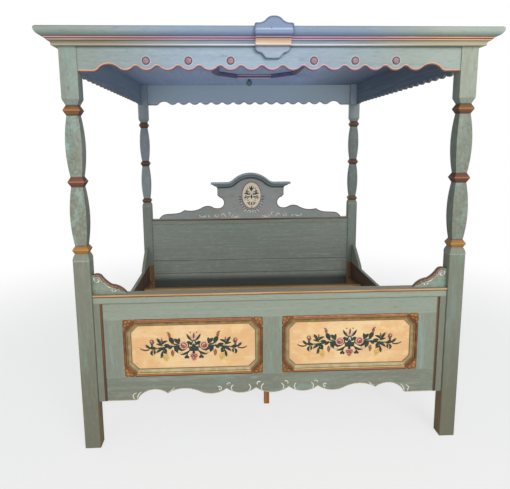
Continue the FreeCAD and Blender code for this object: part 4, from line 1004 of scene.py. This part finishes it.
def edge_line(name, node, face, wanted, width, pot):
    """A painted line that follows the sawn edge of a board's face."""
    work = sawn_copy(node)
    mesh = work.data
    fronts = {}
    for part in mesh.polygons:
        for key in part.edge_keys:
            fronts.setdefault(key, []).append(faces_foot(part, face))
    for edge in mesh.edges:
        sides = fronts.get(edge.key, [])
        middle = (mesh.vertices[edge.vertices[0]].co + mesh.vertices[edge.vertices[1]].co) / 2
        edge.select = any(sides) and not all(sides) and wanted(middle)
    for corner in mesh.vertices:
        corner.select = False
    for part in mesh.polygons:
        part.select = False
    bpy.context.tool_settings.mesh_select_mode = (False, True, False)
    bpy.ops.object.mode_set(mode="EDIT")
    bpy.ops.mesh.separate(type="SELECTED")
    bpy.ops.object.mode_set(mode="OBJECT")
    line = [o for o in bpy.context.selected_objects if o is not work][0]
    bpy.data.objects.remove(work)
    bpy.context.view_layer.objects.active = line
    bpy.ops.object.convert(target="CURVE")
    line = bpy.context.object
    line.data.bevel_depth = width / 2
    line.data.bevel_resolution = 1
    line.data.use_fill_caps = True
    bpy.ops.object.convert(target="MESH")
    bpy.ops.object.shade_smooth()
    return settle(bpy.context.object, name, pot)


def inner_line(name, node, face, wanted, inset, width, pot):
    """A painted line that keeps a little way in from the sawn edge of a board's face."""
    work = sawn_copy(node)
    mesh = work.data
    for part in mesh.polygons:
        part.select = not faces_foot(part, face)
    bpy.context.tool_settings.mesh_select_mode = (False, False, True)
    bpy.ops.object.mode_set(mode="EDIT")
    bpy.ops.mesh.delete(type="FACE")
    bpy.ops.mesh.select_all(action="SELECT")
    bpy.ops.mesh.dissolve_faces()
    bpy.ops.mesh.select_all(action="SELECT")
    bpy.ops.mesh.inset(thickness=inset, depth=0)
    bpy.ops.mesh.select_all(action="INVERT")
    bpy.ops.mesh.delete(type="FACE")
    bpy.ops.mesh.select_all(action="SELECT")
    bpy.ops.mesh.inset(thickness=width, depth=0)
    bpy.ops.mesh.delete(type="FACE")
    bpy.ops.object.mode_set(mode="OBJECT")
    for part in mesh.polygons:
        part.select = not wanted(part.center)
    bpy.ops.object.mode_set(mode="EDIT")
    bpy.ops.mesh.delete(type="FACE")
    bpy.ops.mesh.select_all(action="SELECT")
    bpy.ops.mesh.extrude_region_move(TRANSFORM_OT_translate={"value": (0, -0.0005, 0)})
    leave_edit()
    return settle(work, name, pot)


def other_side(piece, name, pot):
    """The same piece mirrored to the other side of the bed."""
    pick(piece)
    bpy.ops.object.duplicate()
    edit_all()
    bpy.ops.transform.resize(value=(-1, 1, 1), center_override=(0, 0, 0))
    leave_edit()
    return settle(bpy.context.object, name, pot)


def paint_apron():
    edge_line("apron_edge_line", "foot_apron", APRON_FACE,
              lambda at: at.z < 0.345 and abs(at.x) < 0.826, 0.004, cream_pot)
    white = Brush("apron_scrolls", APRON_FACE - 0.0003, (0, 0))
    white.pairs("curl", (69, 316, 10, 130, -170, 6, (1.1, 1.2, 0.9, 0.9, 0.6)),
        (221, 315, 9, 150, -165, 5, (0.8, 1.0, 1.0, 0.9, 0.6)),
        (267, 296, 10, 35, 215, 5, (1.3, 1.2, 1.0, 0.9, 0.5)))
    white.pairs("stem", (44, 314, 52, 279, 9, 6), (120, 314, 124, 275, -11, 6), (197, 313, 203, 280, 9, 6),
        (694, 252, 683, 284, -13, 6), (679, 254, 659, 289, -5, 6), (523, 284, 494, 307, 3, 5))
    white.pairs("comma", (267, 294, 264, 282, 2, 6))
    white.dry(white_pot)


def paint_brackets():
    """Three border lines in from a bracket's sawn edge, one on the edge itself, and small scrolls."""
    node = "foot_bracket_left"
    arris = edge_line("bracket_arris_left", node, PANEL_FACE,
                      lambda at: at.z > 0.803 and at.x > -0.866, 0.004, umber_pot)
    other_side(arris, "bracket_arris_right", umber_pot)
    for name, inset, width, pot in (("bracket_border_", 0.0012, 0.0085, rosewood_pot),
                                    ("bracket_shade_", 0.0097, 0.0024, umber_pot),
                                    ("bracket_line_", 0.0125, 0.0032, cream_pot)):
        room = inset + width + 0.001
        line = inner_line(name + "left", node, PANEL_FACE,
                          lambda at: at.z > 0.797 + room and at.x > room - 0.870, inset, width, pot)
        other_side(line, name + "right", pot)
    white = Brush("bracket_scrolls", PANEL_FACE - 0.0003, (0, 0))
    white.pairs("comma", (862, 877, 855, 857, 3, 7), (837, 862, 855, 856, -3, 7),
        (845, 870, 833, 864, 2, 5), (800, 836, 770, 824, 3, 6), (785, 829, 760, 826, -4, 6),
        (782, 816, 774, 806, -2, 6), (759, 817, 769, 806, -2, 6))
    white.dry(white_pot)


def paint_crest():
    """The line on the crest's edge, the oval medallion with its bouquet, its wreath and the scrolls."""
    face = CREST_FACE
    edge_line("crest_edge_line", "head_crest", face, lambda at: at.z > 0.853 and at.z < 1.13, 0.006, wine_pot)
    middle = Vector((0.008, face, 1.053))
    tall = 1.385
    bpy.ops.object.select_all(action="DESELECT")
    bpy.ops.mesh.primitive_circle_add(vertices=64, radius=0.086, fill_type="NGON", location=middle,
                                      rotation=(math.radians(90), 0, 0))
    bpy.ops.object.transform_apply(location=True, rotation=True, scale=True)
    edit_all()
    bpy.ops.transform.resize(value=(1, 1, tall), center_override=middle)
    bpy.ops.mesh.extrude_region_move(TRANSFORM_OT_translate={"value": (0, -0.0012, 0)})
    bpy.ops.mesh.inset(thickness=0.005, depth=0.0006)
    bpy.ops.mesh.inset(thickness=0.02, depth=0.0004)
    leave_edit()
    plate = settle(bpy.context.object, "crest_medallion", ivory_pot)
    plate.data.materials.append(umber_pot.material)
    for part in plate.data.polygons:
        reach = math.hypot(part.center.x - middle.x, (part.center.z - middle.z) / tall)
        part.material_index = 1 if reach > 0.0815 else 0
    centre = (middle.x, middle.z)
    dark = Brush("crest_bouquet_dark", face - 0.0024, centre)
    dark.singles("leaf", (0, 36, 2, 86, 2, 18), (-8, 48, -16, 80, 2, 9), (8, 48, 18, 76, -2, 9),
        (0, -30, 0, 10, 0, 16))
    dark.pairs("leaf", (18, 4, 68, 16, 6, 14), (20, -8, 70, -16, -5, 12), (36, 2, 34, 48, -4, 11),
        (10, -10, 44, -36, 4, 10))
    dark.pairs("dot", (24, 30, 6), (56, -30, 5))
    dark.dry(leaf_pot)
    warm = Brush("crest_bouquet_warm", face - 0.0027, centre)
    warm.singles("leaf", (0, -88, 0, -58, 0, 12))
    warm.pairs("leaf", (8, -86, 30, -58, -5, 10))
    warm.pairs("dot", (30, -44, 5), (44, 40, 7), (18, 12, 7), (50, -4, 6), (16, -62, 5))
    warm.dry(umber_pot)
    rosy = Brush("crest_bouquet_blush", face - 0.0023, centre)
    rosy.pairs("dot", (34, 58, 8), (48, 26, 7), (36, -66, 6))
    rosy.singles("dot", (0, -104, 10))
    rosy.dry(blush_pot)
    pale = Brush("crest_bouquet_pale", face - 0.0029, centre)
    pale.pairs("leaf", (8, 4, 8, 46, 2, 7), (22, -22, 50, -24, 3, 5))
    pale.dry(white_pot)
    lilac = Brush("crest_wreath_plum", face - 0.0002, centre, 1.15)
    white = Brush("crest_wreath_white", face - 0.0005, centre, 1.2)
    for number in range(8):
        angle = math.radians(-8 - number * 10.5)
        foot = (94 * math.cos(angle), 130 * math.sin(angle))
        tip = (122 * math.cos(angle + 0.1), 160 * math.sin(angle + 0.1))
        lilac.pairs("comma", (*foot, *tip, 4, 8))
        if number > 1:
            white.pairs("curl", ((foot[0] + tip[0]) / 2 - 4, (foot[1] + tip[1]) / 2 - 6, 8, 100, 220, 5))
    white.pairs("curl", (22, -146, 14, 200, -260, 7), (56, -140, 10, 160, -240, 6))
    lilac.dry(plum_pot)
    white.dry(white_pot)
    scroll = Brush("crest_scrolls", face - 0.0003, (0, 0), 1.1)
    scroll.pairs("curl", (454, 872, 9, 60, 240, 7), (366, 870, 9, 90, -230, 7),
        (248, 880, 15, 200, -250, 9), (192, 888, 14, 60, 230, 9))
    scroll.pairs("comma", (440, 864, 404, 882, 5, 8), (416, 862, 384, 874, -4, 7),
        (318, 866, 300, 894, -5, 8), (306, 864, 284, 886, 5, 8), (228, 878, 214, 864, 4, 8),
        (170, 862, 142, 886, -5, 8), (152, 860, 120, 882, 5, 8), (132, 860, 92, 870, -4, 8))
    scroll.pairs("stem", (170, 857, 90, 857, 0, 4))
    scroll.dry(white_pot)


def studio():
    """A pale floor, a soft key light from the front, and the camera where the bed was seen from."""
    scene = bpy.context.scene
    bpy.ops.object.select_all(action="DESELECT")
    bpy.ops.mesh.primitive_plane_add(size=60, location=(0, 0, 0))
    floor = bpy.context.object
    floor.name = "studio_floor"
    coat = Finish("studio_floor_white")
    cloud = coat.noise((0.6, 0.6, 0.6), 2.0)
    coat.colour = coat.mix(cloud * 0.1, "#fafafa", "#f4f4f4")
    glow = coat.node("ShaderNodeEmission", {}, {"Color": (1.0, 1.0, 1.0, 1.0), "Strength": 1.0})
    seen = coat.node("ShaderNodeLightPath", output="Is Camera Ray")
    away = coat.maths("SQRT", coat.x * coat.x + coat.y * coat.y)
    share = seen * (coat.ramp(away, 1.6, 4.2) * 0.3 + 0.7)
    blend = coat.node("ShaderNodeMixShader", {}, {0: share, 1: Value(coat, coat.shader.outputs[0]), 2: glow})
    coat.tree.links.new(blend.socket, coat.tree.nodes["Material Output"].inputs["Surface"])
    floor.data.materials.append(coat.close(0.9))
    world = bpy.data.worlds.new("studio_world")
    world.use_nodes = True
    scene.world = world
    world.node_tree.nodes.clear()
    sky = Tree(world.node_tree)
    seen = sky.node("ShaderNodeLightPath", output="Is Camera Ray")
    seen = seen | sky.node("ShaderNodeLightPath", output="Is Glossy Ray")
    soft = sky.node("ShaderNodeBackground", {}, {"Color": (0.95, 0.98, 1.0, 1.0), "Strength": 0.34})
    plain = sky.node("ShaderNodeBackground", {}, {"Color": (1.0, 1.0, 1.0, 1.0)})
    backdrop = sky.node("ShaderNodeMixShader", {}, {0: seen, 1: soft, 2: plain})
    sky.node("ShaderNodeOutputWorld", {}, {"Surface": backdrop})

    def lamp(name, place, aim, power, size):
        light = bpy.data.lights.new(name, "AREA")
        light.energy = power
        light.shape = "RECTANGLE"
        light.size, light.size_y = size
        holder = bpy.data.objects.new(name, light)
        scene.collection.objects.link(holder)
        holder.location = place
        holder.rotation_euler = (Vector(aim) - Vector(place)).to_track_quat("-Z", "Y").to_euler()

    lamp("key_light", (2.6, -9.0, 4.2), (0, -0.6, 1.2), 362, (5.0, 3.2))
    lamp("fill_light", (-4.0, -9.0, 2.0), (0, -0.6, 1.2), 108, (4.0, 3.0))

    camera = bpy.data.cameras.new("photo_camera")
    camera.sensor_fit = "HORIZONTAL"
    camera.sensor_width = 36.0
    camera.lens = 36.7915
    camera.shift_x = 0.00685
    camera.shift_y = -0.0203
    holder = bpy.data.objects.new("photo_camera", camera)
    scene.collection.objects.link(holder)
    holder.location = (-0.22287, -3.50039, 1.51684)
    holder.rotation_euler = [math.radians(angle) for angle in (79.970336, 0.443960, -2.925968)]
    scene.camera = holder


paint_swags()
paint_apron()
paint_brackets()
paint_crest()
studio()
